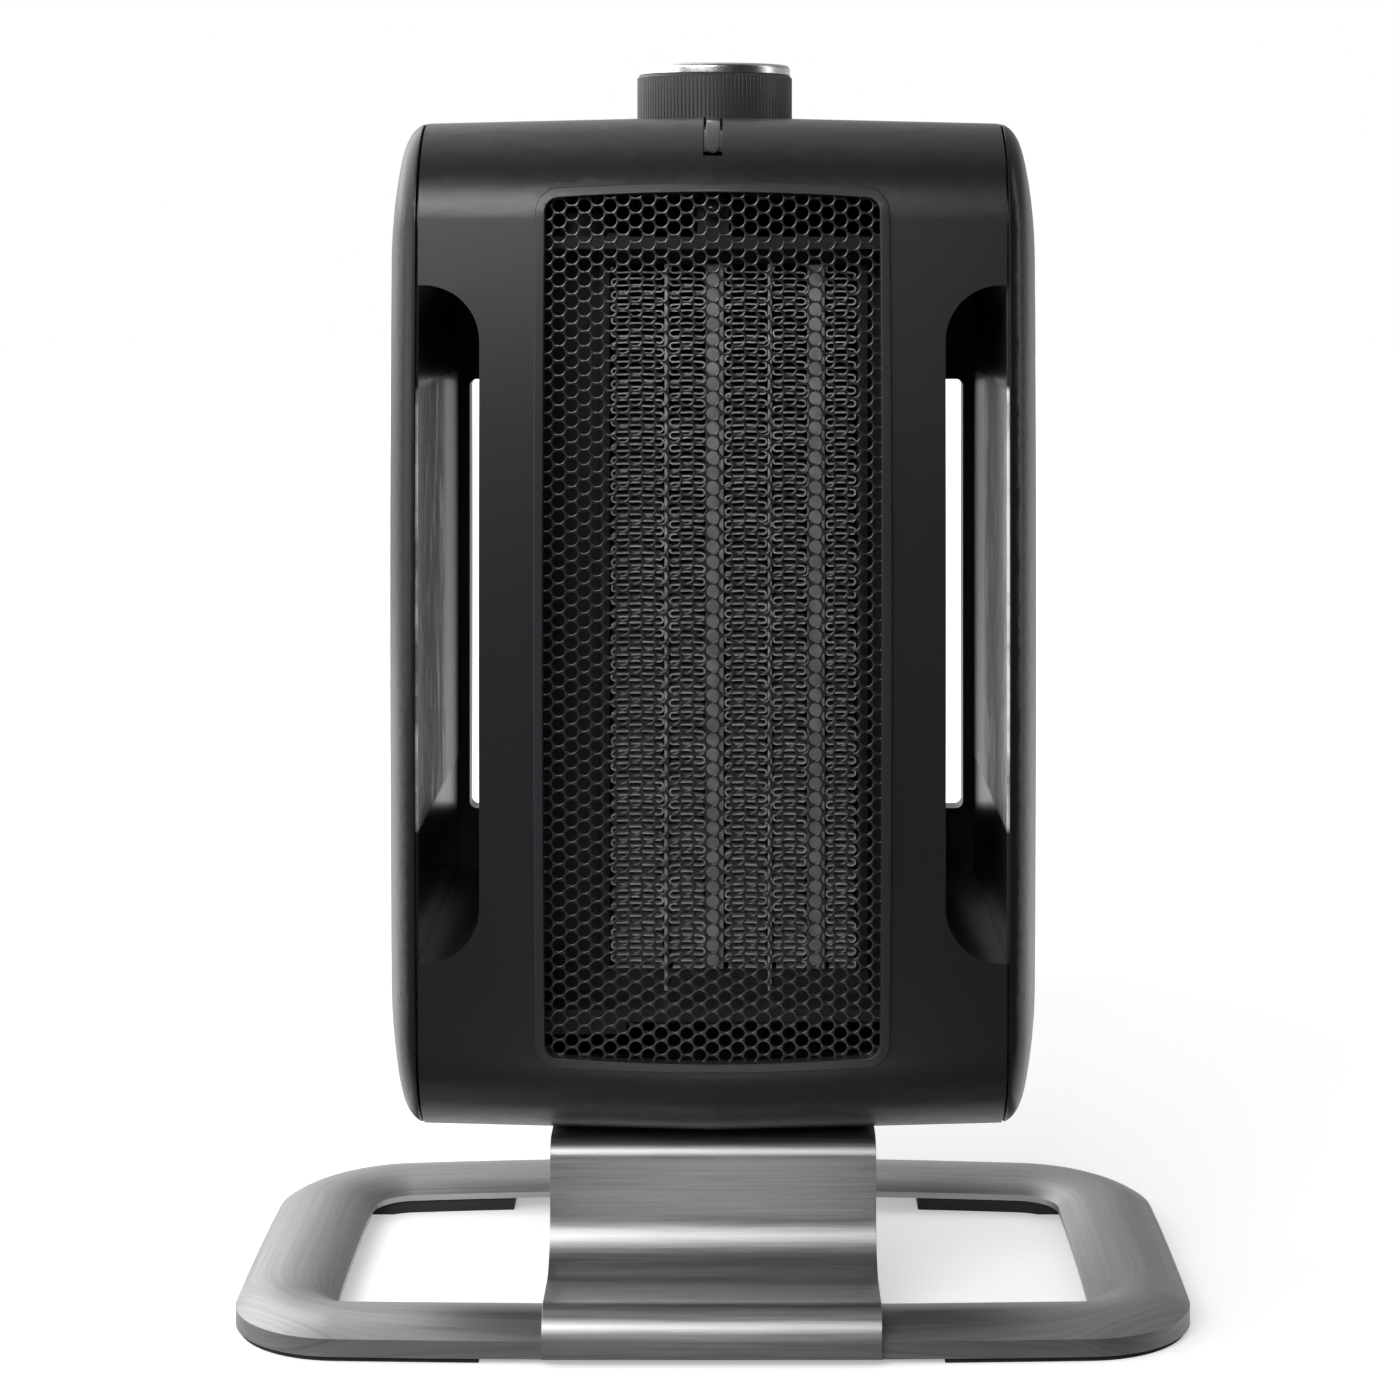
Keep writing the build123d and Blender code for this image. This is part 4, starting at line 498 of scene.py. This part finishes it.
def refined(node: str, name: str, edge: float, segments: int = 2, limit: float = 32.0,
            angle: float = 34.0) -> bpy.types.Object:
    """A merged copy of a CAD node with softened edges.

    Args:
        node: The CAD node.
        name: Name of the new piece.
        edge: Width of the softened edges in metres; 0 leaves them sharp.
        segments: Steps across each softened edge.
        limit: Smallest angle in degrees of an edge that is softened.
        angle: Largest angle in degrees that is shaded smooth.

    Returns:
        The new object, at the origin.
    """
    source = frame["nodes"][node]
    piece = bpy.data.objects.new(name, source.data.copy())
    bpy.context.scene.collection.objects.link(piece)
    piece.data.materials.clear()

    def merge(mesh: bmesh.types.BMesh) -> None:
        """Join the loose triangles, drop the faces between joined solids and dissolve the flat ones."""
        bpy.ops.mesh.select_all(action="SELECT")
        bpy.ops.mesh.remove_doubles(threshold=0.000002)
        bpy.ops.mesh.dissolve_limited(angle_limit=math.radians(0.4))
        bpy.ops.mesh.select_all(action="DESELECT")
        bpy.ops.mesh.select_interior_faces()
        bpy.ops.mesh.delete(type="FACE")
        bpy.ops.mesh.select_all(action="SELECT")
        bpy.ops.mesh.dissolve_limited(angle_limit=math.radians(0.4))

    in_edit_mode(piece, merge)
    if edge:
        apply_modifier(piece, "BEVEL", width=edge, segments=segments, limit_method="ANGLE",
                       angle_limit=math.radians(limit), use_clamp_overlap=True, harden_normals=False)
    smooth(piece, angle)
    if edge:
        apply_modifier(piece, "WEIGHTED_NORMAL", keep_sharp=True)
    return piece


@dataclass
class CasingForm:
    """The shape of the casing's front, for pieces that follow it."""

    front: float = -62.0 * MM
    middle: float = 175.9 * MM
    reach: float = 128.2 * MM
    bow: float = 5.0 * MM
    draft: float = 1.7 * MM
    half_width: float = 73.4 * MM

    def depth_at(self, x: float, z: float) -> float:
        """Where the casing's front face lies.

        Args:
            x: Across the casing.
            z: Up the casing.

        Returns:
            The Y of the front face.
        """
        radius = (self.reach ** 2 + self.bow ** 2) / (2 * self.bow)
        rise = radius - math.sqrt(radius ** 2 - (z - self.middle) ** 2)
        return self.front + rise + self.draft * abs(x) / self.half_width


@dataclass
class HoneycombGuard:
    """The stamped sheet behind the bezel, with close rows of rounded holes."""

    form: CasingForm
    half_width: float = 43.0 * MM
    low: float = 68.6 * MM
    high: float = 286.8 * MM
    pitch: float = 3.69 * MM
    hole: float = 1.6 * MM
    lip: float = 0.2 * MM
    sheet: float = 1.3 * MM
    behind_face: float = 2.2 * MM
    middle_z: float = 177.7 * MM

    def widen(self, piece: bpy.types.Object, radius: float, depth: float) -> None:
        """Put the selected corners of a cell on a circle.

        Args:
            piece: The cell, in edit mode.
            radius: Radius of the circle.
            depth: How far behind the front of the sheet it lies.
        """
        for vertex in bmesh.from_edit_mesh(piece.data).verts:
            if vertex.select:
                share = radius / math.hypot(vertex.co.x, vertex.co.z)
                vertex.co = (vertex.co.x * share, depth, vertex.co.z * share)
        bmesh.update_edit_mesh(piece.data)

    def cell(self) -> bpy.types.Object:
        """One six-sided cell with a rounded hole, centred on the origin and facing the front."""
        corner = self.pitch / math.sqrt(3)
        bpy.ops.object.select_all(action="DESELECT")
        bpy.ops.mesh.primitive_circle_add(vertices=12, radius=corner, fill_type="NGON",
                                          rotation=(math.pi / 2, 0, 0))
        piece = bpy.context.active_object
        piece.name = "honeycomb_guard"
        settle(piece)

        def shape(mesh: bmesh.types.BMesh) -> None:
            """Draw the outline, then step inwards over the lip and back through the sheet."""
            for vertex in mesh.verts:
                if round(math.degrees(math.atan2(vertex.co.z, vertex.co.x)) / 30) % 2:
                    vertex.co *= self.pitch / 2 / corner
            bpy.ops.mesh.select_all(action="SELECT")
            bpy.ops.mesh.inset(thickness=self.lip / 2, depth=0)
            self.widen(piece, self.hole + self.lip, 0)
            for radius, depth in ((self.hole + 0.3 * self.lip, 0.3 * self.lip), (self.hole, self.lip),
                                  (self.hole, self.sheet)):
                bpy.ops.mesh.extrude_region_move()
                self.widen(piece, radius, depth)
            bpy.ops.mesh.delete(type="FACE")

        in_edit_mode(piece, shape)
        return piece

    def spread(self, piece: bpy.types.Object) -> None:
        """Repeat the cell over the sheet in two staggered sets.

        Args:
            piece: The single cell, which becomes the whole sheet.
        """
        step = self.pitch * math.sqrt(3) / 2
        columns = 2 * int((self.half_width + step) / (2 * step)) + 1
        rows = int((self.high - self.low) / self.pitch) + 3
        start_x = -step * (columns - 1)
        start_z = self.middle_z - self.pitch * (rows - 1) / 2
        other = piece.copy()
        other.data = piece.data.copy()
        bpy.context.scene.collection.objects.link(other)
        sets = ((piece, 0.0, 0.0, columns), (other, step, self.pitch / 2, columns - 1))
        for item, shift_x, shift_z, count in sets:
            item.location = (start_x + shift_x, 0, start_z + shift_z)
            settle(item)
            apply_modifier(item, "ARRAY", count=count, use_relative_offset=False, use_constant_offset=True,
                           constant_offset_displace=(2 * step, 0, 0))
            apply_modifier(item, "ARRAY", count=rows, use_relative_offset=False, use_constant_offset=True,
                           constant_offset_displace=(0, 0, self.pitch))
        only(piece, other)
        bpy.ops.object.join()

    def trim(self, piece: bpy.types.Object) -> None:
        """Join the cells and cut the sheet to its outline."""
        def cut(mesh: bmesh.types.BMesh) -> None:
            """Merge and bisect on four sides."""
            bpy.ops.mesh.select_all(action="SELECT")
            bpy.ops.mesh.remove_doubles(threshold=0.00001)
            sides = (((self.half_width, 0, 0), (1, 0, 0)), ((-self.half_width, 0, 0), (-1, 0, 0)),
                     ((0, 0, self.high), (0, 0, 1)), ((0, 0, self.low), (0, 0, -1)))
            for place, normal in sides:
                bpy.ops.mesh.select_all(action="SELECT")
                bpy.ops.mesh.bisect(plane_co=place, plane_no=normal, clear_outer=True)

        in_edit_mode(piece, cut)

    def build(self, finish: bpy.types.Material) -> None:
        """Make the guard and hand it over."""
        piece = self.cell()
        self.spread(piece)
        self.trim(piece)
        for vertex in piece.data.vertices:
            soft = math.hypot(vertex.co.x, 6 * MM)
            vertex.co.y += self.form.depth_at(soft, vertex.co.z) + self.behind_face
        smooth(piece, 50.0)
        hand_over(piece, finish, Body.CASING, ["front_grille"])


@dataclass
class PleatedFins:
    """One pack of pleated fins between two plates of the heating element."""

    node: str
    number: int
    sheet: float = 0.34 * MM
    pitch: float = 1.64 * MM
    turn_steps: int = 5

    def pleat_path(self, left: float, right: float, low: float, high: float) -> list[tuple[float, float]]:
        """The pleats' line in the plane of the element.

        Args:
            left: X of the left plate.
            right: X of the right plate.
            low: Z of the bottom.
            high: Z of the top.

        Returns:
            Points (x, z) from bottom to top.
        """
        radius = self.pitch / 2
        count = int((high - low - 2 * self.sheet) / self.pitch)
        points = []
        for run in range(count):
            z = low + self.sheet + run * self.pitch
            ends = (left + radius, right - radius) if run % 2 == 0 else (right - radius, left + radius)
            points.append((ends[0], z))
            points.append(((ends[0] + ends[1]) / 2, z + 0.12 * self.pitch))
            side = 1 if run % 2 == 0 else -1
            for step in range(self.turn_steps):
                turn = -math.pi / 2 + math.pi * step / self.turn_steps
                points.append((ends[1] + side * radius * math.cos(turn),
                               z + radius + radius * math.sin(turn)))
        return points

    def build(self, finish: bpy.types.Material) -> None:
        """Make the pack and hand it over."""
        low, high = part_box(self.node)
        wall = self.sheet
        path = self.pleat_path(low.x + wall, high.x - wall, low.z, high.z)
        depth = high.y - low.y
        bpy.ops.object.select_all(action="DESELECT")
        bpy.ops.mesh.primitive_grid_add(x_subdivisions=len(path) - 1, y_subdivisions=1, size=1.0)
        piece = bpy.context.active_object
        piece.name = f"pleated_fins_{self.number}"
        ordered = sorted(piece.data.vertices, key=lambda vertex: (round(vertex.co.x, 5), vertex.co.y))
        for index, vertex in enumerate(ordered):
            x, z = path[index // 2]
            vertex.co = (x, low.y + depth * (0.02 if index % 2 == 0 else 0.98), z)
        piece.location = (0, 0, 0)
        apply_modifier(piece, "SOLIDIFY", thickness=self.sheet, offset=0.0)
        smooth(piece, 40.0)
        hand_over(piece, finish, Body.CASING, [self.node])


@dataclass
class Element:
    """The ceramic heating element."""

    packs: int = 5
    edge: float = 0.25 * MM

    def build(self, paint: "PaintBox") -> None:
        """Make the pleats, plates, bars and rails."""
        for number in range(1, self.packs + 1):
            PleatedFins(f"fin_pack_{number}", number).build(paint.fins)
        for node in ("ceramic_bar_1", "ceramic_bar_2"):
            hand_over(refined(node, f"{node}_cover", self.edge), paint.bar, Body.CASING,
                      [node])
        for node in ("terminal_plate_1", "terminal_plate_2"):
            hand_over(refined(node, f"{node}_strip", 0.1 * MM), paint.plate, Body.CASING,
                      [node])
        for side in ("left", "right"):
            node = f"element_rail_{side}"
            hand_over(refined(node, f"{node}_channel", self.edge), paint.rail, Body.CASING,
                      [node])


@dataclass
class Casing:
    """The two shells, the side covers with their linings, the bezel and the rear intake."""

    edge: float = 0.35 * MM

    def build(self, paint: "PaintBox") -> None:
        """Make every outer piece of the casing."""
        for side in ("left", "right"):
            hand_over(refined(f"{side}_shell", f"{side}_half_shell", self.edge), paint.shell, Body.CASING,
                      [f"{side}_shell"])
            hand_over(refined(f"{side}_cover", f"{side}_side_cover", 0.6 * MM, 3), paint.cover, Body.CASING,
                      [f"{side}_cover"])
            hand_over(refined(f"{side}_liner", f"{side}_slot_lining", 0.3 * MM), paint.lining, Body.CASING,
                      [f"{side}_liner"])
        hand_over(refined("grille_bezel", "front_bezel", 0.4 * MM, 3), paint.bezel, Body.CASING,
                  ["grille_bezel"])
        hand_over(refined("rear_grille", "rear_intake", 0.3 * MM), paint.inner, Body.CASING,
                  ["rear_grille"])
        hand_over(refined("pilot_lens", "pilot_window", 0.2 * MM), paint.lens, Body.CASING,
                  ["pilot_lens"])
        hand_over(refined("cord_gland", "cord_inlet", 0.4 * MM), paint.rubber, Body.CASING,
                  ["cord_gland"])


@dataclass
class RingStand:
    """The ring stand, its pads and the strap."""

    def build(self, paint: "PaintBox") -> None:
        """Make the stand."""
        hand_over(refined("base_ring", "ring_stand", 0.25 * MM), paint.ring, Body.CASING,
                  ["base_ring"])
        hand_over(refined("base_feet", "corner_pads", 0.3 * MM), paint.rubber, Body.CASING,
                  ["base_feet"])
        hand_over(refined("strap", "bent_strap", 0.2 * MM), paint.strap, Body.CASING,
                  ["strap"])


@dataclass
class Knob:
    """The ribbed knob and its cap."""

    def build(self, paint: "PaintBox") -> None:
        """Make the knob."""
        hand_over(refined("knob", "ribbed_knob", 0.12 * MM), paint.knob, Body.KNOB, ["knob"])
        hand_over(refined("knob_cap", "domed_cap", 0.25 * MM, 3, 25.0), paint.cap, Body.KNOB,
                  ["knob_cap"])


class PaintBox:
    """Every finish of the heater, made once."""

    def __init__(self) -> None:
        """Make the materials."""
        self.shell = MouldedPlastic("shell_plastic", gloss=0.68).make()
        self.cover = MouldedPlastic("cover_plastic", roughness=0.3, grain=3200.0, strength=0.15,
                                    gloss=0.38).make()
        self.lining = SlotLining("slot_lining").make()
        self.bezel = MouldedPlastic("bezel_plastic", (0.02, 0.021, 0.024), 0.3, strength=0.15).make()
        self.guard = MouldedPlastic("guard_enamel", (0.016, 0.016, 0.019), 0.2, grain=1500.0, strength=0.2,
                                    gloss=0.8).make()
        self.inner = MouldedPlastic("inner_plastic", (0.02, 0.021, 0.024), 0.45).make()
        self.knob = MouldedPlastic("knob_plastic", (0.034, 0.034, 0.037), 0.42).make()
        self.rubber = MouldedPlastic("pad_rubber", (0.012, 0.012, 0.012), 0.7, 1800.0, 0.00006, 0.5).make()
        self.ceramic = MouldedPlastic("moulded_white", (0.62, 0.6, 0.56), 0.55, 1200.0).make()
        self.ring = BrushedRing("ring_metal", 121 * MM, 75 * MM, 9 * MM, 37 * MM).make()
        self.strap = BrushedMetal("strap_metal").make()
        self.cap = BrushedMetal("cap_metal", (0.78, 0.78, 0.79), 0.28, Brush.TURNED, 5000.0, strength=0.04,
                                contrast=0.06).make()
        self.fins = CastOrRolled("fin_metal", (0.75, 0.75, 0.76), 0.42, 0.55).make()
        self.bar = CastOrRolled("bar_metal", (0.46, 0.465, 0.47), 0.45, 0.8).make()
        self.plate = CastOrRolled("plate_metal", (0.7, 0.7, 0.7), 0.42, 0.6).make()
        self.rail = CastOrRolled("rail_metal", (0.05, 0.05, 0.055), 0.5).make()
        self.steel = BrushedMetal("machined_steel", (0.5, 0.5, 0.51), 0.28, Brush.ALONG_Z).make()
        self.iron = CastOrRolled("motor_iron", (0.12, 0.125, 0.135), 0.5, 0.6).make()
        self.tape = MouldedPlastic("winding_tape", (0.35, 0.12, 0.03), 0.45, 900.0, 0.0001, 0.5).make()
        self.bronze = CastOrRolled("bush_bronze", (0.5, 0.32, 0.14), 0.4).make()
        self.lens = SmokedLens("pilot_plastic").make()
        self.neon = SmokedLens("lamp_glass", (0.04, 0.03, 0.025)).make()

    def by_slot(self) -> dict[str, bpy.types.Material]:
        """The finish for each of the record's material slots."""
        return {
            "brushed_metal": self.strap, "rubber": self.rubber, "casing_black": self.shell,
            "cover_black": self.cover, "liner_black": self.lining, "bezel_grey": self.bezel,
            "guard_black": self.guard, "inner_black": self.inner, "fin_aluminium": self.fins,
            "plate_steel": self.plate, "holder_white": self.ceramic, "holder_black": self.inner,
            "steel": self.steel, "motor_iron": self.iron, "copper_tape": self.tape, "bronze": self.bronze,
            "knob_black": self.knob, "cap_silver": self.cap, "lens_clear": self.lens, "lamp_glass": self.neon,
        }

    def dress_nodes(self) -> None:
        """Give every CAD node the finish of its slot."""
        finishes = self.by_slot()
        for entry in frame["record"]["subparts"]:
            dress(frame["nodes"][entry["node"]], finishes[entry["material_slot"]])


@dataclass
class Studio:
    """The camera, the lamps, the world and the floor."""

    focal_px: float = 3200.0
    image_px: float = 1400.0
    centre_px: tuple[float, float] = (743.0, 225.0)
    eye: tuple[float, float, float] = (0.0076, -0.855, 0.278)

    def camera(self) -> None:
        """Place the camera at the photograph's angle."""
        data = bpy.data.cameras.new("photo_camera")
        data.sensor_width = 36.0
        data.lens = self.focal_px / self.image_px * data.sensor_width
        data.shift_x = (self.image_px / 2 - self.centre_px[0]) / self.image_px
        data.shift_y = (self.centre_px[1] - self.image_px / 2) / self.image_px
        data.clip_start = 0.01
        camera = bpy.data.objects.new("photo_camera", data)
        camera.location = self.eye
        camera.rotation_euler = (math.pi / 2, 0, 0)
        bpy.context.scene.collection.objects.link(camera)
        bpy.context.scene.camera = camera

    def lamp(self, name: str, place: tuple[float, float, float], aim: tuple[float, float, float],
             size: tuple[float, float], power: float) -> None:
        """Add one soft rectangular lamp.

        Args:
            name: Name of the lamp.
            place: Where it stands.
            aim: The point it faces.
            size: Width and height in metres.
            power: Strength in watts.
        """
        data = bpy.data.lights.new(name, "AREA")
        data.shape = "RECTANGLE"
        data.size, data.size_y = size
        data.energy = power
        lamp = bpy.data.objects.new(name, data)
        lamp.location = place
        lamp.visible_camera = False
        lamp.rotation_euler = (Vector(aim) - Vector(place)).to_track_quat("-Z", "Y").to_euler()
        bpy.context.scene.collection.objects.link(lamp)

    def world(self) -> None:
        """Soft light from all round, seen as white, with a dark room behind the camera for reflections."""
        world = bpy.data.worlds.new("studio")
        bpy.context.scene.world = world
        world.use_nodes = True
        tree = world.node_tree
        tree.nodes.clear()
        make, link = tree.nodes.new, tree.links.new
        output, add = make("ShaderNodeOutputWorld"), make("ShaderNodeMixShader")
        plain, seen = make("ShaderNodeBackground"), make("ShaderNodeBackground")
        plain.inputs["Color"].default_value = (1, 1, 1, 1)
        plain.inputs["Strength"].default_value = 0.4
        rays, place = make("ShaderNodeLightPath"), make("ShaderNodeTexCoord")
        split = make("ShaderNodeSeparateXYZ")
        link(place.outputs["Generated"], split.inputs[0])

        def ramp(axis: int, start: float, end: float, first: float, last: float,
                 kind: str = "SMOOTHSTEP") -> bpy.types.Node:
            """A change of level along one axis of the sky.

            Args:
                axis: 0, 1 or 2 for X, Y or Z.
                start: Where the change starts.
                end: Where the change ends.
                first: Level before it.
                last: Level after it.
                kind: Blender's name for the shape of the change.

            Returns:
                The node.
            """
            node = make("ShaderNodeMapRange")
            node.interpolation_type = kind
            for name, value in (("From Min", start), ("From Max", end), ("To Min", first), ("To Max", last)):
                node.inputs[name].default_value = value
            link(split.outputs[axis], node.inputs["Value"])
            return node

        back = ramp(1, -0.5, 0.25, 0.015, 1.0)
        side = ramp(0, -0.2, 0.9, 0.95, 0.3, "LINEAR")
        height = ramp(2, 0.08, 0.25, 0.0, 1.0)
        half = ramp(0, -0.2, 0.25, 0.05, -0.45)
        level, either, clear = make("ShaderNodeMath"), make("ShaderNodeMath"), make("ShaderNodeMath")
        level.operation = either.operation = clear.operation = "MAXIMUM"
        sided, lifted, share = make("ShaderNodeMath"), make("ShaderNodeMath"), make("ShaderNodeMath")
        sided.operation = lifted.operation = "MULTIPLY"
        share.operation = "MULTIPLY_ADD"
        link(back.outputs["Result"], sided.inputs[0])
        link(side.outputs["Result"], sided.inputs[1])
        link(height.outputs["Result"], share.inputs[0])
        link(half.outputs["Result"], share.inputs[1])
        share.inputs[2].default_value = 1.0
        link(sided.outputs[0], lifted.inputs[0])
        link(share.outputs[0], lifted.inputs[1])
        link(lifted.outputs[0], level.inputs[0])
        link(rays.outputs["Is Camera Ray"], clear.inputs[0])
        link(rays.outputs["Is Transmission Ray"], clear.inputs[1])
        link(clear.outputs[0], level.inputs[1])
        seen.inputs["Color"].default_value = (1, 1, 1, 1)
        link(level.outputs[0], seen.inputs["Strength"])
        link(clear.outputs[0], either.inputs[0])
        link(rays.outputs["Is Glossy Ray"], either.inputs[1])
        link(either.outputs[0], add.inputs[0])
        link(plain.outputs[0], add.inputs[1])
        link(seen.outputs[0], add.inputs[2])
        link(add.outputs[0], output.inputs["Surface"])

    def floor(self) -> None:
        """A pale floor that keeps the heater's shadow."""
        bpy.ops.object.select_all(action="DESELECT")
        bpy.ops.mesh.primitive_plane_add(size=12.0, location=(0, 0, 0))
        ground = bpy.context.active_object
        ground.name = "studio_floor"
        sheet = NodeSheet("floor_paper")
        sheet.feed("Roughness", 0.7)
        sheet.feed("Specular IOR Level", 0.2)
        rays = sheet.add("ShaderNodeLightPath", {}, {})
        camera, glossy = Wire(sheet, rays.outputs["Is Camera Ray"]), Wire(sheet, rays.outputs["Is Glossy Ray"])
        x, y, _ = sheet.axes()
        ahead = y.between(-0.27, -0.17) * (1.0 - y.between(-0.14, -0.1))
        ahead = ahead * (1.0 - abs(x).between(0.03, 0.06))
        rear = y.between(-0.1, 0.0)
        back = ahead.over(rear)
        far = sheet.math("SQRT", x * x + y * y, 0.0).between(0.3, 0.8)
        unseen = (glossy * (1.0 - back)).over(Wire(sheet, rays.outputs["Is Diffuse Ray"]) * 0.6)
        sheet.feed("Base Color", sheet.blend(unseen, (0.86, 0.86, 0.86), (0.05, 0.05, 0.05)))
        sheet.feed("Emission Color", (1.0, 1.0, 1.0, 1.0))
        strength = camera * (0.38 + far * 0.62) + glossy * (ahead * 0.5).over(rear * 0.34)
        sheet.tree.links.new(strength.socket, sheet.shader.inputs["Emission Strength"])
        dress(ground, sheet.material)

    def build(self) -> None:
        """Set up the studio."""
        scene = bpy.context.scene
        scene.view_settings.view_transform = "Standard"
        self.camera()
        self.world()
        self.floor()
        self.lamp("front_softbox", (-0.5, -1.2, 0.85), (0, 0, 0.25), (1.0, 0.6), 14.0)
        self.lamp("left_strip", (-1.1, -0.35, 0.5), (0, 0, 0.2), (0.8, 1.4), 6.5)
        self.lamp("back_left_softbox", (-0.8, 0.6, 0.75), (0, 0, 0.05), (1.2, 1.0), 5.5)
        self.lamp("right_strip", (1.2, 0.0, 0.5), (0, 0, 0.2), (0.3, 1.2), 2.0)


def main() -> None:
    """Dress the whole heater and set up the studio."""
    logging.basicConfig(level=logging.INFO, format="%(name)s %(message)s")
    paint = PaintBox()
    paint.dress_nodes()
    form = CasingForm()
    Casing().build(paint)
    HoneycombGuard(form).build(paint.guard)
    Element().build(paint)
    RingStand().build(paint)
    Knob().build(paint)
    Studio().build()


if __name__ == "__main__":
    main()
